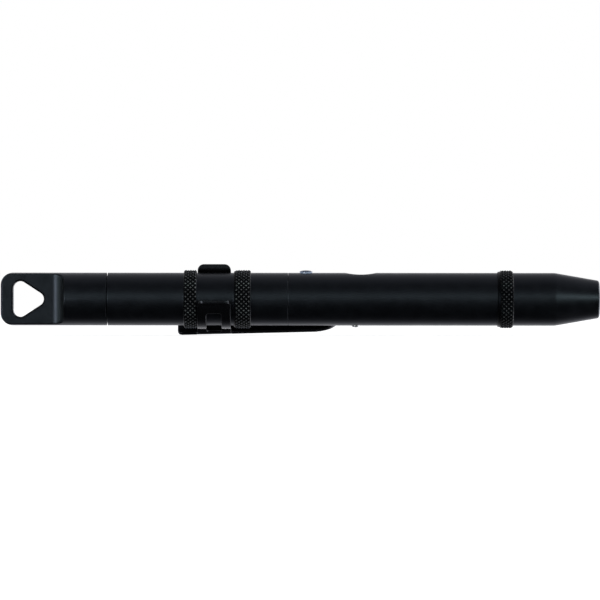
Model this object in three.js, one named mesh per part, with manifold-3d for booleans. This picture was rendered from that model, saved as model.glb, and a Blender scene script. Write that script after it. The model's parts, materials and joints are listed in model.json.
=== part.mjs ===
// Counterfeit detector pen: a side-button ultraviolet penlight with a lanyard tang,
// a swivelling pocket clip and a tapered nose. Millimetres. +X runs towards the nose
// and +Z up through the thumb button, and the lanyard tang lies flat in the XZ plane.
// The origin is the centre of the nose lens's front face.
import * as THREE from 'three';
import { mergeVertices } from 'three/addons/utils/BufferGeometryUtils.js';
import Module from 'manifold-3d';

const wasm = await Module();
wasm.setup();

const degrees = (value) => THREE.MathUtils.degToRad(value);

// Smoothness of round pieces.
const BODY_SEGMENTS = 40;
const SMALL_SEGMENTS = 16;
const ARC_STEPS = 6;
const MERGE_TOLERANCE = 1e-4;

// Body lengths, from the tail end to the nose, and the seams between them.
const TAIL_CAP_LENGTH = 26.5;
const FRONT_BARREL_LENGTH = 52.2;
const NOSE_LENGTH = 25.45;
const TAIL_SEAM = 0.1;
const MID_SEAM = 0.1;
const NOSE_SEAM = 0.05;
const EDGE_BREAK = 0.2;

// Lanyard tang and its triangular hole.
const TANG_LENGTH = 13.2;
const TANG_THICKNESS = 4.0;
const TANG_CORNER_R = 3.2;
const TANG_COVE_R = 2.8;
const HOLE_INSET = 3.2;
const HOLE_APEX = 12.4;
const HOLE_HALF_ANGLE = degrees(33);
const HOLE_CORNER_R = 1.8;

// Raised rings and the groove that the clip sits in.
const RING_HEIGHT = 0.7;
const RING_EDGE = 0.3;
const RING_1_OFFSET = 19.2;
const RING_1_WIDTH = 3.4;
const CLIP_GROOVE = 9.6;
const RING_2_RAMP = 1.0;
const RING_2_WIDTH = 3.7;
const NOSE_RING_HEIGHT = 0.65;
const NOSE_RING_WIDTH = 3.85;

// Pocket clip, bent from one sheet. Its angles are measured from the strip.
const CLIP_SHEET = 0.8;
const CLIP_WIDTH = 8.3;
const CLIP_BARREL_GAP = 0.05;
const CLIP_END_GAP = 0.1;
const CLIP_DIRECTION = degrees(-45);
const STRIP_WIDTH = 7.0;
const STRIP_STANDOFF = 0.9;
const BAND_DROP = 0.2;
const BAND_BULGE = 0.45;
const BAND_BEND_R = 0.5;
const BAND_FOOT_R = 0.7;
const STRIP_OVERHANG = 5.2;
const STRIP_LENGTH = 40.3;
const STRIP_SLOPE = 0.036;
const STRIP_CORNER_R = 1.2;
const STRIP_TIP_LENGTH = 5.9;
const WING_ANGLE = degrees(123);
const LIP_LENGTH = 0.8;
const LIP_FLARE = degrees(80);
const LIP_BEND_R = 0.9;
const LEG_WIDTH = 2.3;
const WINDOW_START = degrees(38);
const WINDOW_END = degrees(106);

// Threads, modelled as plain bands. The walls build outwards from the cell's chamber.
const SPIGOT_WALL = 0.5;
const THREAD_GAP = 0.1;
const BARREL_WALL = 0.55;
const THREAD_LENGTH = 6.8;
const THREAD_RUNOUT = 0.2;
const NECK_LENGTH = 6.4;
const ORING_SECTION = 0.65;
const ORING_GAP = 0.03;
const ORING_GROOVE_WIDTH = 1.0;
const ORING_SETBACK = 0.6;

// Gap between pieces that rest on each other, and round a piece pressed into a hole.
const REST_GAP = 0.3;
const SEAT_GAP = 0.05;
const PRESS_GAP = 0.02;

// Cell, its chamber and the tail contact.
const CELL_D = 10.4;
const CELL_LENGTH = 43.7;
const CELL_CAP_D = 3.8;
const CELL_CAP_LENGTH = 0.8;
const CHAMBER_GAP = 0.25;
const CELL_PROUD = 1.65;
const TAIL_BORE_D = 8.6;
const TAIL_BORE_DEPTH = 6.2;
const TAIL_DISC_D = 8.0;
const TAIL_DISC_T = 0.5;
const SPRING_D = 7.6;
const SPRING_WIRE_D = 0.8;
const SPRING_TURNS = 4.5;
const SPRING_LENGTH = 7.2;

// Front contact and driver electronics.
const CONTACT_PAD_D = 3.0;
const CONTACT_PAD_T = 0.4;
const CONTACT_BOARD_T = 0.6;
const CONTACT_BOARD_GAP = 0.1;
const BOARD_T = 0.8;
const BOARD_EDGE_GAP = 0.54;
const BOARD_SINK_GAP = 4.8;
const TRAY_WALL = 1.0;
const TRAY_SINK_GAP = 3.2;
const TRAY_GAP = 0.1;
const CHIP_LENGTH = 4.9;
const CHIP_WIDTH = 3.9;
const CHIP_HEIGHT = 1.4;
const CHIP_SETBACK = 11.1;
const INDUCTOR_D = 4.4;
const INDUCTOR_HEIGHT = 2.2;
const INDUCTOR_SETBACK = 4.6;
const CAPACITOR_LENGTH = 3.2;
const CAPACITOR_WIDTH = 2.4;
const CAPACITOR_HEIGHT = 1.5;
const CAPACITOR_OFFSET = 10.5;

// Thumb dish and side button. Offsets are measured from the middle seam.
const BUTTON_OFFSET = 18.1;
const DISH_R = 11.3;
const DISH_DEPTH = 0.64;
const BUTTON_D = 3.4;
const BUTTON_GAP = 0.05;
const BUTTON_PROUD = 0.15;
const BUTTON_FLANGE_D = 4.4;
const BUTTON_FLANGE_T = 0.4;
const BUTTON_FLANGE_GAP = 0.08;
const GUIDE_D = 5.8;
const GUIDE_HEIGHT = 1.7;
const GUIDE_GAP = 0.1;
const SWITCH_SIZE = 3.0;
const SWITCH_HEIGHT = 1.2;
const PLUNGER_D = 1.6;
const PLUNGER_GAP = 0.05;
const PLUNGER_STAND = 0.75;
const PLUNGER_WELL = 0.8;
const BUTTON_TRAVEL = 0.3;

// Indicator and the stud that holds the carrier tray.
const INDICATOR_OFFSET = 4.4;
const INDICATOR_D = 3.2;
const INDICATOR_PROUD = 0.65;
const INDICATOR_SKIRT = 0.25;
const INDICATOR_LED_SIZE = 1.2;
const INDICATOR_LED_HEIGHT = 2.6;
const STUD_OFFSET = 16.8;
const STUD_D = 1.9;
const STUD_PROUD = 0.45;
const STUD_EDGE = 0.3;

// Heat sink, lead wires and the ultraviolet light source.
const SINK_LENGTH = 9.0;
const SINK_POST_GAP = 0.15;
const NECK_STEP = 0.7;
const WIRE_D = 0.9;
const WIRE_BORE_D = 1.7;
const WIRE_OFFSET = 2.6;
const WIRE_LAP = 1.8;
const LED_BOARD_INSET = 0.1;
const LED_BOARD_T = 1.2;
const LED_BASE_SIZE = 3.5;
const LED_BASE_T = 0.9;
const LED_DOME_D = 2.6;

// Nose cone, lens stack and reflector.
const CONE_LENGTH = 11.1;
const CONE_END_D = 9.34;
const NOSE_BORE_STEP = 0.85;
const NOSE_BORE_LENGTH = 13.35;
const LIP_T = 0.65;
const LENS_RECESS = 0.1;
const LENS_FACE_D = 6.0;
const LENS_APERTURE_GAP = 0.15;
const LENS_D = 6.8;
const LENS_T = 1.0;
const LENS_GAP = 0.1;
const LENS_SEAT_DEPTH = 3.1;
const GASKET_T = 0.5;
const GASKET_WALL = 0.7;
const REFLECTOR_WALL = 0.6;
const REFLECTOR_GAP = 0.1;
const REFLECTOR_THROAT_D = 6.0;

// Stations along the pen, from the tail end.
const TAIL_FLOOR = TAIL_CAP_LENGTH - TAIL_BORE_DEPTH;
const DISC_START = TAIL_FLOOR + REST_GAP;
const SPRING_START = DISC_START + TAIL_DISC_T + REST_GAP;
const CELL_START = SPRING_START + SPRING_LENGTH + REST_GAP;
const CELL_CAP_START = CELL_START + CELL_LENGTH + SEAT_GAP;
const CELL_CAP_END = CELL_CAP_START + CELL_CAP_LENGTH;
const CONTACT_START = CELL_CAP_END + REST_GAP;
const REAR_START = TAIL_CAP_LENGTH + TAIL_SEAM;
const REAR_END = CELL_CAP_END - CELL_PROUD;
const GROOVE_START = REAR_START + RING_1_OFFSET + RING_1_WIDTH;
const FRONT_START = REAR_END + MID_SEAM;
const FRONT_END = FRONT_START + FRONT_BARREL_LENGTH;
const NECK_END = FRONT_END + NECK_LENGTH;
const NOSE_START = FRONT_END + NOSE_SEAM;
const NOSE_END = NOSE_START + NOSE_LENGTH;
const LENS_FACE = NOSE_END - LENS_RECESS;
const CONTACT_BOARD_START = CONTACT_START + CONTACT_PAD_T + SEAT_GAP;
const BOARD_START = CONTACT_BOARD_START + CONTACT_BOARD_T + REST_GAP;
const SINK_START = FRONT_END - REST_GAP - SINK_LENGTH;
const SINK_END = NECK_END + REST_GAP;
const BOARD_LENGTH = SINK_START - BOARD_SINK_GAP - BOARD_START;
const TRAY_LENGTH = SINK_START - TRAY_SINK_GAP - BOARD_START;
const LED_BOARD_START = SINK_END + SEAT_GAP;
const LED_BASE_START = LED_BOARD_START + LED_BOARD_T + SEAT_GAP;
const LED_DOME_START = LED_BASE_START + LED_BASE_T + SEAT_GAP;
const BUTTON_X = FRONT_START + BUTTON_OFFSET;
const INDICATOR_X = FRONT_START + INDICATOR_OFFSET;
const STUD_X = FRONT_START + STUD_OFFSET;

// Radii and heights that follow from the sizes above.
const CHAMBER_R = CELL_D / 2 + CHAMBER_GAP;
const THREAD_R = CHAMBER_R + SPIGOT_WALL;
const THREAD_BORE_R = THREAD_R + THREAD_GAP;
const BODY_R = THREAD_BORE_R + BARREL_WALL;
const RING_R = BODY_R + RING_HEIGHT;
const ORING_SEAT_R = THREAD_R - ORING_SECTION;
const NECK_BORE_R = CHAMBER_R - NECK_STEP;
const SINK_POST_R = NECK_BORE_R - SINK_POST_GAP;
const NOSE_BORE_R = THREAD_BORE_R - NOSE_BORE_STEP;
const BUTTON_TOP = BODY_R - DISH_DEPTH + BUTTON_PROUD;
const BUTTON_FLANGE_TOP =
    Math.sqrt(CHAMBER_R ** 2 - (BUTTON_FLANGE_D / 2) ** 2) - BUTTON_FLANGE_GAP;
const BUTTON_FLOOR = BUTTON_FLANGE_TOP - BUTTON_FLANGE_T;
const SWITCH_TOP = BUTTON_FLOOR - PLUNGER_STAND;
const SWITCH_BASE = SWITCH_TOP - SWITCH_HEIGHT;
const WELL_FLOOR = SWITCH_TOP - PLUNGER_WELL;
const BOARD_TOP = SWITCH_BASE - SEAT_GAP;
const BOARD_WIDTH = 2 * (Math.sqrt(CHAMBER_R ** 2 - BOARD_TOP ** 2) - BOARD_EDGE_GAP);
const TRAY_R = CHAMBER_R - TRAY_GAP;
const TRAY_TOP = BOARD_TOP - BOARD_T - SEAT_GAP;
const WIRE_Z = TRAY_TOP - WIRE_D / 2;
const LENS_FRONT = NOSE_END - LIP_T - SEAT_GAP;
const GASKET_FRONT = LENS_FRONT - LENS_T - SEAT_GAP;
const REFLECTOR_FRONT = GASKET_FRONT - GASKET_T - SEAT_GAP;
const REFLECTOR_START = LED_BOARD_START + LED_BOARD_T + REST_GAP;
const NOSE_BORE_END = NOSE_START + NOSE_BORE_LENGTH;
const LENS_SEAT_R = LENS_D / 2 + LENS_GAP;
const LENS_SEAT_START = NOSE_END - LENS_SEAT_DEPTH;

function finish(color, roughness, metalness) {
    return new THREE.MeshStandardMaterial({ color, roughness, metalness });
}

const ANODISED = finish(0x17181c, 0.38, 0.85);
const CLIP_BLACK = finish(0x101013, 0.45, 0.6);
const RUBBER = finish(0x0c0c0d, 0.8, 0.0);
const SPRING_STEEL = finish(0xb9bcc0, 0.3, 1.0);
const BRASS = finish(0xc9a24a, 0.35, 1.0);
const CELL_SKIN = finish(0x2d5f8a, 0.4, 0.1);
const BOARD_GREEN = finish(0x1f6b3a, 0.5, 0.0);
const BOARD_WHITE = finish(0xe8e9ea, 0.5, 0.0);
const CHIP_BLACK = finish(0x151515, 0.6, 0.0);
const CAPACITOR_TAN = finish(0xb08a5a, 0.5, 0.0);
const TRAY_GREY = finish(0x55585c, 0.6, 0.0);
const ALUMINIUM = finish(0xc4c7ca, 0.35, 1.0);
const LED_WHITE = finish(0xf0efe6, 0.5, 0.0);
const CLEAR_VIOLET = finish(0xb8a9e6, 0.08, 0.0);
const CLEAR_BLUE = finish(0x3a55a8, 0.1, 0.0);
const WIRE_RED_SKIN = finish(0xb3261e, 0.5, 0.0);
const WIRE_BLACK_SKIN = finish(0x1a1a1a, 0.5, 0.0);

// A body of revolution about X. The outline runs anticlockwise in (station, radius).
function turned(outline, segments = BODY_SEGMENTS) {
    const points = outline.map(([station, radius]) => new THREE.Vector2(radius, station));
    return new THREE.LatheGeometry(points, segments).rotateZ(-Math.PI / 2);
}

// A closed ring or sleeve about X.
function sleeve(start, end, innerR, outerR, segments = BODY_SEGMENTS) {
    return turned([
        [start, innerR],
        [start, outerR],
        [end, outerR],
        [end, innerR],
        [start, innerR],
    ], segments);
}

// A solid disc or rod about X.
function rod(start, end, radius, segments = SMALL_SEGMENTS) {
    return turned([[start, 0], [start, radius], [end, radius], [end, 0]], segments);
}

// A rod, a stepped rod or a domed one about Z: the outline is in (height, radius).
function upright(outline, segments = SMALL_SEGMENTS) {
    const points = outline.map(([height, radius]) => new THREE.Vector2(radius, height));
    return new THREE.LatheGeometry(points, segments).rotateX(Math.PI / 2);
}

function pillar(bottom, top, radius, segments = SMALL_SEGMENTS) {
    return upright([[bottom, 0], [bottom, radius], [top, radius], [top, 0]], segments);
}

function block(length, width, height) {
    return new THREE.BoxGeometry(length, width, height);
}

function solid(geometry) {
    const bare = geometry.index ? geometry.toNonIndexed() : geometry.clone();
    bare.deleteAttribute('normal');
    bare.deleteAttribute('uv');
    const merged = mergeVertices(bare, MERGE_TOLERANCE);
    return new wasm.Manifold(new wasm.Mesh({
        numProp: 3,
        vertProperties: new Float32Array(merged.attributes.position.array),
        triVerts: new Uint32Array(merged.index.array),
    }));
}

function surface(manifold) {
    const mesh = manifold.getMesh();
    const geometry = new THREE.BufferGeometry();
    geometry.setAttribute('position', new THREE.BufferAttribute(mesh.vertProperties, 3));
    geometry.setIndex(new THREE.BufferAttribute(mesh.triVerts, 1));
    const faceted = geometry.toNonIndexed();
    faceted.computeVertexNormals();
    return faceted;
}

function cut(geometry, ...cutters) {
    return surface(cutters.reduce((body, cutter) => body.subtract(solid(cutter)), solid(geometry)));
}

function join(geometry, ...others) {
    return surface(others.reduce((body, other) => body.add(solid(other)), solid(geometry)));
}

function piece(name, geometry, material, x = 0, y = 0, z = 0) {
    const mesh = new THREE.Mesh(geometry, material);
    mesh.name = name;
    mesh.position.set(x, y, z);
    return mesh;
}

// Tail cap: a round plug whose tail end is milled flat on both sides for a lanyard.
function tangOutline() {
    const right = TAIL_CAP_LENGTH + THREAD_LENGTH + EDGE_BREAK;
    const outline = new THREE.Shape();
    outline.moveTo(TANG_CORNER_R, -BODY_R);
    outline.lineTo(right, -BODY_R);
    outline.lineTo(right, BODY_R);
    outline.lineTo(TANG_CORNER_R, BODY_R);
    outline.absarc(TANG_CORNER_R, BODY_R - TANG_CORNER_R, TANG_CORNER_R,
        Math.PI / 2, Math.PI, false);
    outline.absarc(TANG_CORNER_R, TANG_CORNER_R - BODY_R, TANG_CORNER_R,
        Math.PI, Math.PI * 1.5, false);
    return outline;
}

function lanyardHoleOutline() {
    const slope = Math.tan(HOLE_HALF_ANGLE);
    const apexCentre = HOLE_APEX - HOLE_CORNER_R / Math.sin(HOLE_HALF_ANGLE);
    const baseCentre = HOLE_INSET + HOLE_CORNER_R;
    const rise = (HOLE_APEX - baseCentre) * slope - HOLE_CORNER_R / Math.cos(HOLE_HALF_ANGLE);
    const turn = Math.PI / 2 - HOLE_HALF_ANGLE;
    const outline = new THREE.Shape();
    outline.absarc(apexCentre, 0, HOLE_CORNER_R, -turn, turn, false);
    outline.absarc(baseCentre, rise, HOLE_CORNER_R, turn, Math.PI, false);
    outline.absarc(baseCentre, -rise, HOLE_CORNER_R, Math.PI, 2 * Math.PI - turn, false);
    outline.closePath();
    return outline;
}

// Extrudes an outline drawn in XZ through the full thickness of the pen along Y.
function throughY(outline, depth) {
    const options = { depth, bevelEnabled: false, curveSegments: ARC_STEPS };
    return new THREE.ExtrudeGeometry(outline, options)
        .translate(0, 0, -depth / 2)
        .rotateX(Math.PI / 2);
}

// The stock milled away beside the tang, with a round cove where it runs into the cap.
function tangRelief(side) {
    const half = TANG_THICKNESS / 2;
    const outer = BODY_R + EDGE_BREAK;
    const shoulder = TANG_LENGTH + TANG_COVE_R;
    const outline = new THREE.Shape();
    outline.moveTo(-EDGE_BREAK, half);
    outline.lineTo(TANG_LENGTH, half);
    outline.absarc(TANG_LENGTH, half + TANG_COVE_R, TANG_COVE_R, -Math.PI / 2, 0, false);
    outline.lineTo(shoulder, outer);
    outline.lineTo(-EDGE_BREAK, outer);
    outline.closePath();
    const depth = 2 * outer;
    const options = { depth, bevelEnabled: false, curveSegments: ARC_STEPS };
    const relief = new THREE.ExtrudeGeometry(outline, options).translate(0, 0, -depth / 2);
    return side > 0 ? relief : relief.rotateX(Math.PI);
}

function tailCap() {
    const spigotEnd = TAIL_CAP_LENGTH + THREAD_LENGTH;
    const grooveStart = TAIL_CAP_LENGTH + ORING_SETBACK;
    const grooveEnd = grooveStart + ORING_GROOVE_WIDTH;
    const stepStart = CELL_START - REST_GAP;
    const blank = turned([
        [0, 0],
        [0, BODY_R],
        [TAIL_CAP_LENGTH - EDGE_BREAK, BODY_R],
        [TAIL_CAP_LENGTH, BODY_R - EDGE_BREAK],
        [TAIL_CAP_LENGTH, THREAD_R],
        [grooveStart, THREAD_R],
        [grooveStart, ORING_SEAT_R],
        [grooveEnd, ORING_SEAT_R],
        [grooveEnd, THREAD_R],
        [spigotEnd, THREAD_R],
        [spigotEnd, CHAMBER_R],
        [stepStart, CHAMBER_R],
        [stepStart, TAIL_BORE_D / 2],
        [TAIL_FLOOR, TAIL_BORE_D / 2],
        [TAIL_FLOOR, 0],
    ]);
    const rounded = solid(blank).intersect(solid(throughY(tangOutline(), 3 * BODY_R)));
    return cut(surface(rounded), tangRelief(1), tangRelief(-1),
        throughY(lanyardHoleOutline(), 2 * BODY_R));
}

// An O-ring about X, seated in its groove.
function oring() {
    const radius = ORING_SEAT_R + ORING_GAP + ORING_SECTION / 2;
    return new THREE.TorusGeometry(radius, ORING_SECTION / 2, ARC_STEPS, BODY_SEGMENTS)
        .rotateY(Math.PI / 2);
}

class Helix extends THREE.Curve {
    constructor(radius, length, turns) {
        super();
        this.radius = radius;
        this.length = length;
        this.turns = turns;
    }

    getPoint(t, target = new THREE.Vector3()) {
        const angle = 2 * Math.PI * this.turns * t;
        return target.set(this.length * t, this.radius * Math.cos(angle),
            this.radius * Math.sin(angle));
    }
}

function disc(radius, corners) {
    const points = Array.from({ length: corners }, (_, i) => {
        const angle = 2 * Math.PI * i / corners;
        return new THREE.Vector2(radius * Math.cos(angle), radius * Math.sin(angle));
    });
    return new THREE.Shape(points);
}

function drawn(path, radius, steps) {
    const options = { steps, extrudePath: path, bevelEnabled: false };
    return new THREE.ExtrudeGeometry(disc(radius, ARC_STEPS), options);
}

function tailSpring() {
    const wireR = SPRING_WIRE_D / 2;
    const coil = new Helix(SPRING_D / 2 - wireR, SPRING_LENGTH - SPRING_WIRE_D, SPRING_TURNS);
    return drawn(coil, wireR, Math.round(SPRING_TURNS * 2 * ARC_STEPS));
}

// Rear barrel: cell tube with two raised rings that keep the clip in its groove.
function rearBarrel() {
    const boreStart = REAR_START + THREAD_LENGTH - TAIL_SEAM + THREAD_RUNOUT;
    const boreEnd = FRONT_START - THREAD_LENGTH - THREAD_RUNOUT;
    const ring1 = REAR_START + RING_1_OFFSET;
    const ring2 = GROOVE_START + CLIP_GROOVE;
    return turned([
        [REAR_START, THREAD_BORE_R],
        [REAR_START, BODY_R - EDGE_BREAK],
        [REAR_START + EDGE_BREAK, BODY_R],
        [ring1, BODY_R],
        [ring1, RING_R - RING_EDGE],
        [ring1 + RING_EDGE, RING_R],
        [GROOVE_START - RING_EDGE, RING_R],
        [GROOVE_START, RING_R - RING_EDGE],
        [GROOVE_START, BODY_R],
        [ring2 - RING_2_RAMP, BODY_R],
        [ring2, RING_R],
        [ring2 + RING_2_WIDTH - RING_EDGE, RING_R],
        [ring2 + RING_2_WIDTH, RING_R - RING_EDGE],
        [ring2 + RING_2_WIDTH, BODY_R],
        [REAR_END - EDGE_BREAK, BODY_R],
        [REAR_END, BODY_R - EDGE_BREAK],
        [REAR_END, THREAD_BORE_R],
        [boreEnd, THREAD_BORE_R],
        [boreEnd, CHAMBER_R],
        [boreStart, CHAMBER_R],
        [boreStart, THREAD_BORE_R],
        [REAR_START, THREAD_BORE_R],
    ]);
}

// Front barrel: driver housing with the thumb dish and holes for button, lamp and stud.
function frontBarrel() {
    const grooveStart = FRONT_END + ORING_SETBACK;
    const grooveEnd = grooveStart + ORING_GROOVE_WIDTH;
    const blank = turned([
        [FRONT_START - THREAD_LENGTH, CHAMBER_R],
        [FRONT_START - THREAD_LENGTH, THREAD_R],
        [FRONT_START, THREAD_R],
        [FRONT_START, BODY_R - EDGE_BREAK],
        [FRONT_START + EDGE_BREAK, BODY_R],
        [FRONT_END - EDGE_BREAK, BODY_R],
        [FRONT_END, BODY_R - EDGE_BREAK],
        [FRONT_END, THREAD_R],
        [grooveStart, THREAD_R],
        [grooveStart, ORING_SEAT_R],
        [grooveEnd, ORING_SEAT_R],
        [grooveEnd, THREAD_R],
        [NECK_END, THREAD_R],
        [NECK_END, NECK_BORE_R],
        [FRONT_END, NECK_BORE_R],
        [FRONT_END, CHAMBER_R],
        [FRONT_START - THREAD_LENGTH, CHAMBER_R],
    ]);
    const dish = new THREE.SphereGeometry(DISH_R, BODY_SEGMENTS, BODY_SEGMENTS)
        .rotateX(Math.PI / 2)
        .translate(BUTTON_X, 0, BODY_R - DISH_DEPTH + DISH_R);
    const buttonHole = pillar(BUTTON_FLOOR, BODY_R, BUTTON_D / 2 + BUTTON_GAP)
        .translate(BUTTON_X, 0, 0);
    const lampHole = pillar(BUTTON_FLOOR, 2 * BODY_R, INDICATOR_D / 2 + PRESS_GAP)
        .translate(INDICATOR_X, 0, 0);
    const studHole = pillar(-2 * BODY_R, -BUTTON_FLOOR, STUD_D / 2 + PRESS_GAP)
        .translate(STUD_X, 0, 0);
    return cut(blank, dish, buttonHole, lampHole, studHole);
}

// Adds points to a centre line along an arc about a centre, from one angle to another.
function followArc(points, centre, radius, from, to, steps) {
    for (let i = 0; i <= steps; i += 1) {
        const angle = from + (to - from) * i / steps;
        const spoke = new THREE.Vector2(Math.cos(angle), Math.sin(angle));
        points.push(spoke.multiplyScalar(radius).add(centre));
    }
}

// Half of the clip's bent sheet seen along the pen, from the strip to the flared lip.
function clipCentreLine() {
    const wrapR = BODY_R + CLIP_BARREL_GAP + CLIP_SHEET / 2;
    const backU = RING_R + STRIP_STANDOFF - BAND_DROP + CLIP_SHEET / 2;
    const cornerV = (STRIP_WIDTH - CLIP_SHEET) / 2 + BAND_BULGE;
    const axis = new THREE.Vector2(0, 0);
    const bendCentre = new THREE.Vector2(backU - BAND_BEND_R, cornerV - BAND_BEND_R);
    const footReach = wrapR + BAND_FOOT_R;
    const foot = Math.asin((cornerV + BAND_FOOT_R) / footReach);
    const footCentre = new THREE.Vector2(Math.cos(foot), Math.sin(foot)).multiplyScalar(footReach);
    const lipCentre = new THREE.Vector2(Math.cos(WING_ANGLE), Math.sin(WING_ANGLE))
        .multiplyScalar(wrapR + LIP_BEND_R);
    const bendSteps = ARC_STEPS / 2;
    const points = [];
    followArc(points, bendCentre, BAND_BEND_R, 0, Math.PI / 2, bendSteps);
    followArc(points, footCentre, BAND_FOOT_R, Math.PI * 1.5, Math.PI + foot, bendSteps);
    const wrapStep = (WING_ANGLE - foot) / (2 * ARC_STEPS);
    followArc(points, axis, wrapR, foot + wrapStep, WING_ANGLE, 2 * ARC_STEPS - 1);
    const lipStart = WING_ANGLE + Math.PI;
    const lipStep = LIP_FLARE / bendSteps;
    followArc(points, lipCentre, LIP_BEND_R, lipStart - lipStep, lipStart - LIP_FLARE, bendSteps - 1);
    const heading = WING_ANGLE + Math.PI / 2 - LIP_FLARE;
    const lip = new THREE.Vector2(Math.cos(heading), Math.sin(heading));
    points.push(points.at(-1).clone().addScaledVector(lip, LIP_LENGTH));
    return points;
}

// Gives a centre line the thickness of the sheet.
function thicken(line, thickness) {
    const offsets = line.map((point, i) => {
        const before = line[Math.max(i - 1, 0)];
        const after = line[Math.min(i + 1, line.length - 1)];
        const along = after.clone().sub(before).normalize();
        return new THREE.Vector2(along.y, -along.x).multiplyScalar(thickness / 2);
    });
    const outer = line.map((point, i) => point.clone().add(offsets[i]));
    const inner = line.map((point, i) => point.clone().sub(offsets[i])).reverse();
    return new THREE.Shape([...outer, ...inner]);
}

// The sheet wrapped round the barrel, from one flared lip to the other.
function clipBand() {
    const half = clipCentreLine();
    const mirrored = half.map((p) => new THREE.Vector2(p.x, -p.y)).reverse();
    const section = thicken([...mirrored, ...half], CLIP_SHEET);
    const options = { depth: CLIP_WIDTH, bevelEnabled: false };
    return new THREE.ExtrudeGeometry(section, options);
}

// The slot between a wing's two legs.
function clipWindow(side) {
    const reach = 2 * BODY_R;
    const sector = new THREE.Shape();
    const from = side > 0 ? WINDOW_START : -WINDOW_END;
    sector.absarc(0, 0, reach, from, from + WINDOW_END - WINDOW_START, false);
    sector.lineTo(0, 0);
    const depth = CLIP_WIDTH - 2 * LEG_WIDTH;
    const options = { depth, bevelEnabled: false, curveSegments: ARC_STEPS };
    return new THREE.ExtrudeGeometry(sector, options).translate(0, 0, LEG_WIDTH);
}

// The flat strip: square at the ring end, pointed and rounded at the free end.
function clipStrip() {
    const half = STRIP_WIDTH / 2;
    const straight = STRIP_LENGTH - STRIP_TIP_LENGTH;
    const outline = new THREE.Shape();
    outline.absarc(STRIP_CORNER_R, half - STRIP_CORNER_R, STRIP_CORNER_R,
        Math.PI / 2, Math.PI, false);
    outline.absarc(STRIP_CORNER_R, STRIP_CORNER_R - half, STRIP_CORNER_R,
        Math.PI, Math.PI * 1.5, false);
    outline.absellipse(straight, 0, STRIP_TIP_LENGTH, half, -Math.PI / 2, Math.PI / 2, false, 0);
    outline.closePath();
    const options = { depth: CLIP_SHEET, bevelEnabled: false, curveSegments: ARC_STEPS };
    return new THREE.ExtrudeGeometry(outline, options);
}

// The clip is drawn with its strip upwards and then turned to its place round the barrel.
function pocketClip() {
    const lengthwise = new THREE.Matrix4().makeBasis(
        new THREE.Vector3(0, 0, 1), new THREE.Vector3(0, -1, 0), new THREE.Vector3(1, 0, 0));
    const [band, nearWindow, farWindow] = [clipBand(), clipWindow(1), clipWindow(-1)]
        .map((geometry) => geometry.applyMatrix4(lengthwise));
    const strip = clipStrip()
        .translate(-STRIP_OVERHANG - CLIP_WIDTH / 2, 0, 0)
        .rotateY(STRIP_SLOPE)
        .translate(CLIP_WIDTH / 2, 0, RING_R + STRIP_STANDOFF);
    return join(cut(band, nearWindow, farWindow), strip).rotateX(CLIP_DIRECTION - Math.PI / 2);
}

// Cell, with its positive cap towards the nose.
function cellPieces() {
    return [
        piece('battery_cell', rod(0, CELL_LENGTH, CELL_D / 2, BODY_SEGMENTS / 2), CELL_SKIN,
            CELL_START),
        piece('battery_cap', rod(0, CELL_CAP_LENGTH, CELL_CAP_D / 2), SPRING_STEEL,
            CELL_CAP_START),
    ];
}

function tailPieces() {
    const wireR = SPRING_WIRE_D / 2;
    const oringX = TAIL_CAP_LENGTH + ORING_SETBACK + ORING_GROOVE_WIDTH / 2;
    return [
        piece('tail_cap', tailCap(), ANODISED),
        piece('tail_contact', rod(0, TAIL_DISC_T, TAIL_DISC_D / 2), BRASS, DISC_START),
        piece('tail_spring', tailSpring(), SPRING_STEEL, SPRING_START + wireR),
        piece('tail_oring', oring(), RUBBER, oringX),
    ];
}

// Half-round tray that carries the driver board, with a hole for the stud.
function carrierTray() {
    const tube = sleeve(0, TRAY_LENGTH, TRAY_R - TRAY_WALL, TRAY_R);
    const above = block(2 * TRAY_LENGTH, 4 * BODY_R, 2 * BODY_R)
        .translate(TRAY_LENGTH / 2, 0, TRAY_TOP + BODY_R);
    const studHole = pillar(-2 * BODY_R, 0, STUD_D / 2 + PRESS_GAP)
        .translate(STUD_X - BOARD_START, 0, 0);
    return cut(tube, above, studHole);
}

function stud() {
    const head = BODY_R + STUD_PROUD;
    const radius = STUD_D / 2;
    return upright([
        [-head, 0],
        [-head, radius - STUD_EDGE],
        [-head + STUD_EDGE, radius],
        [TRAY_WALL - TRAY_R, radius],
        [TRAY_WALL - TRAY_R, 0],
    ]);
}

// A block on the top face of the driver board.
function onBoard(name, length, width, height, material, x) {
    const z = BOARD_TOP + SEAT_GAP + height / 2;
    return piece(name, block(length, width, height), material, x, 0, z);
}

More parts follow.
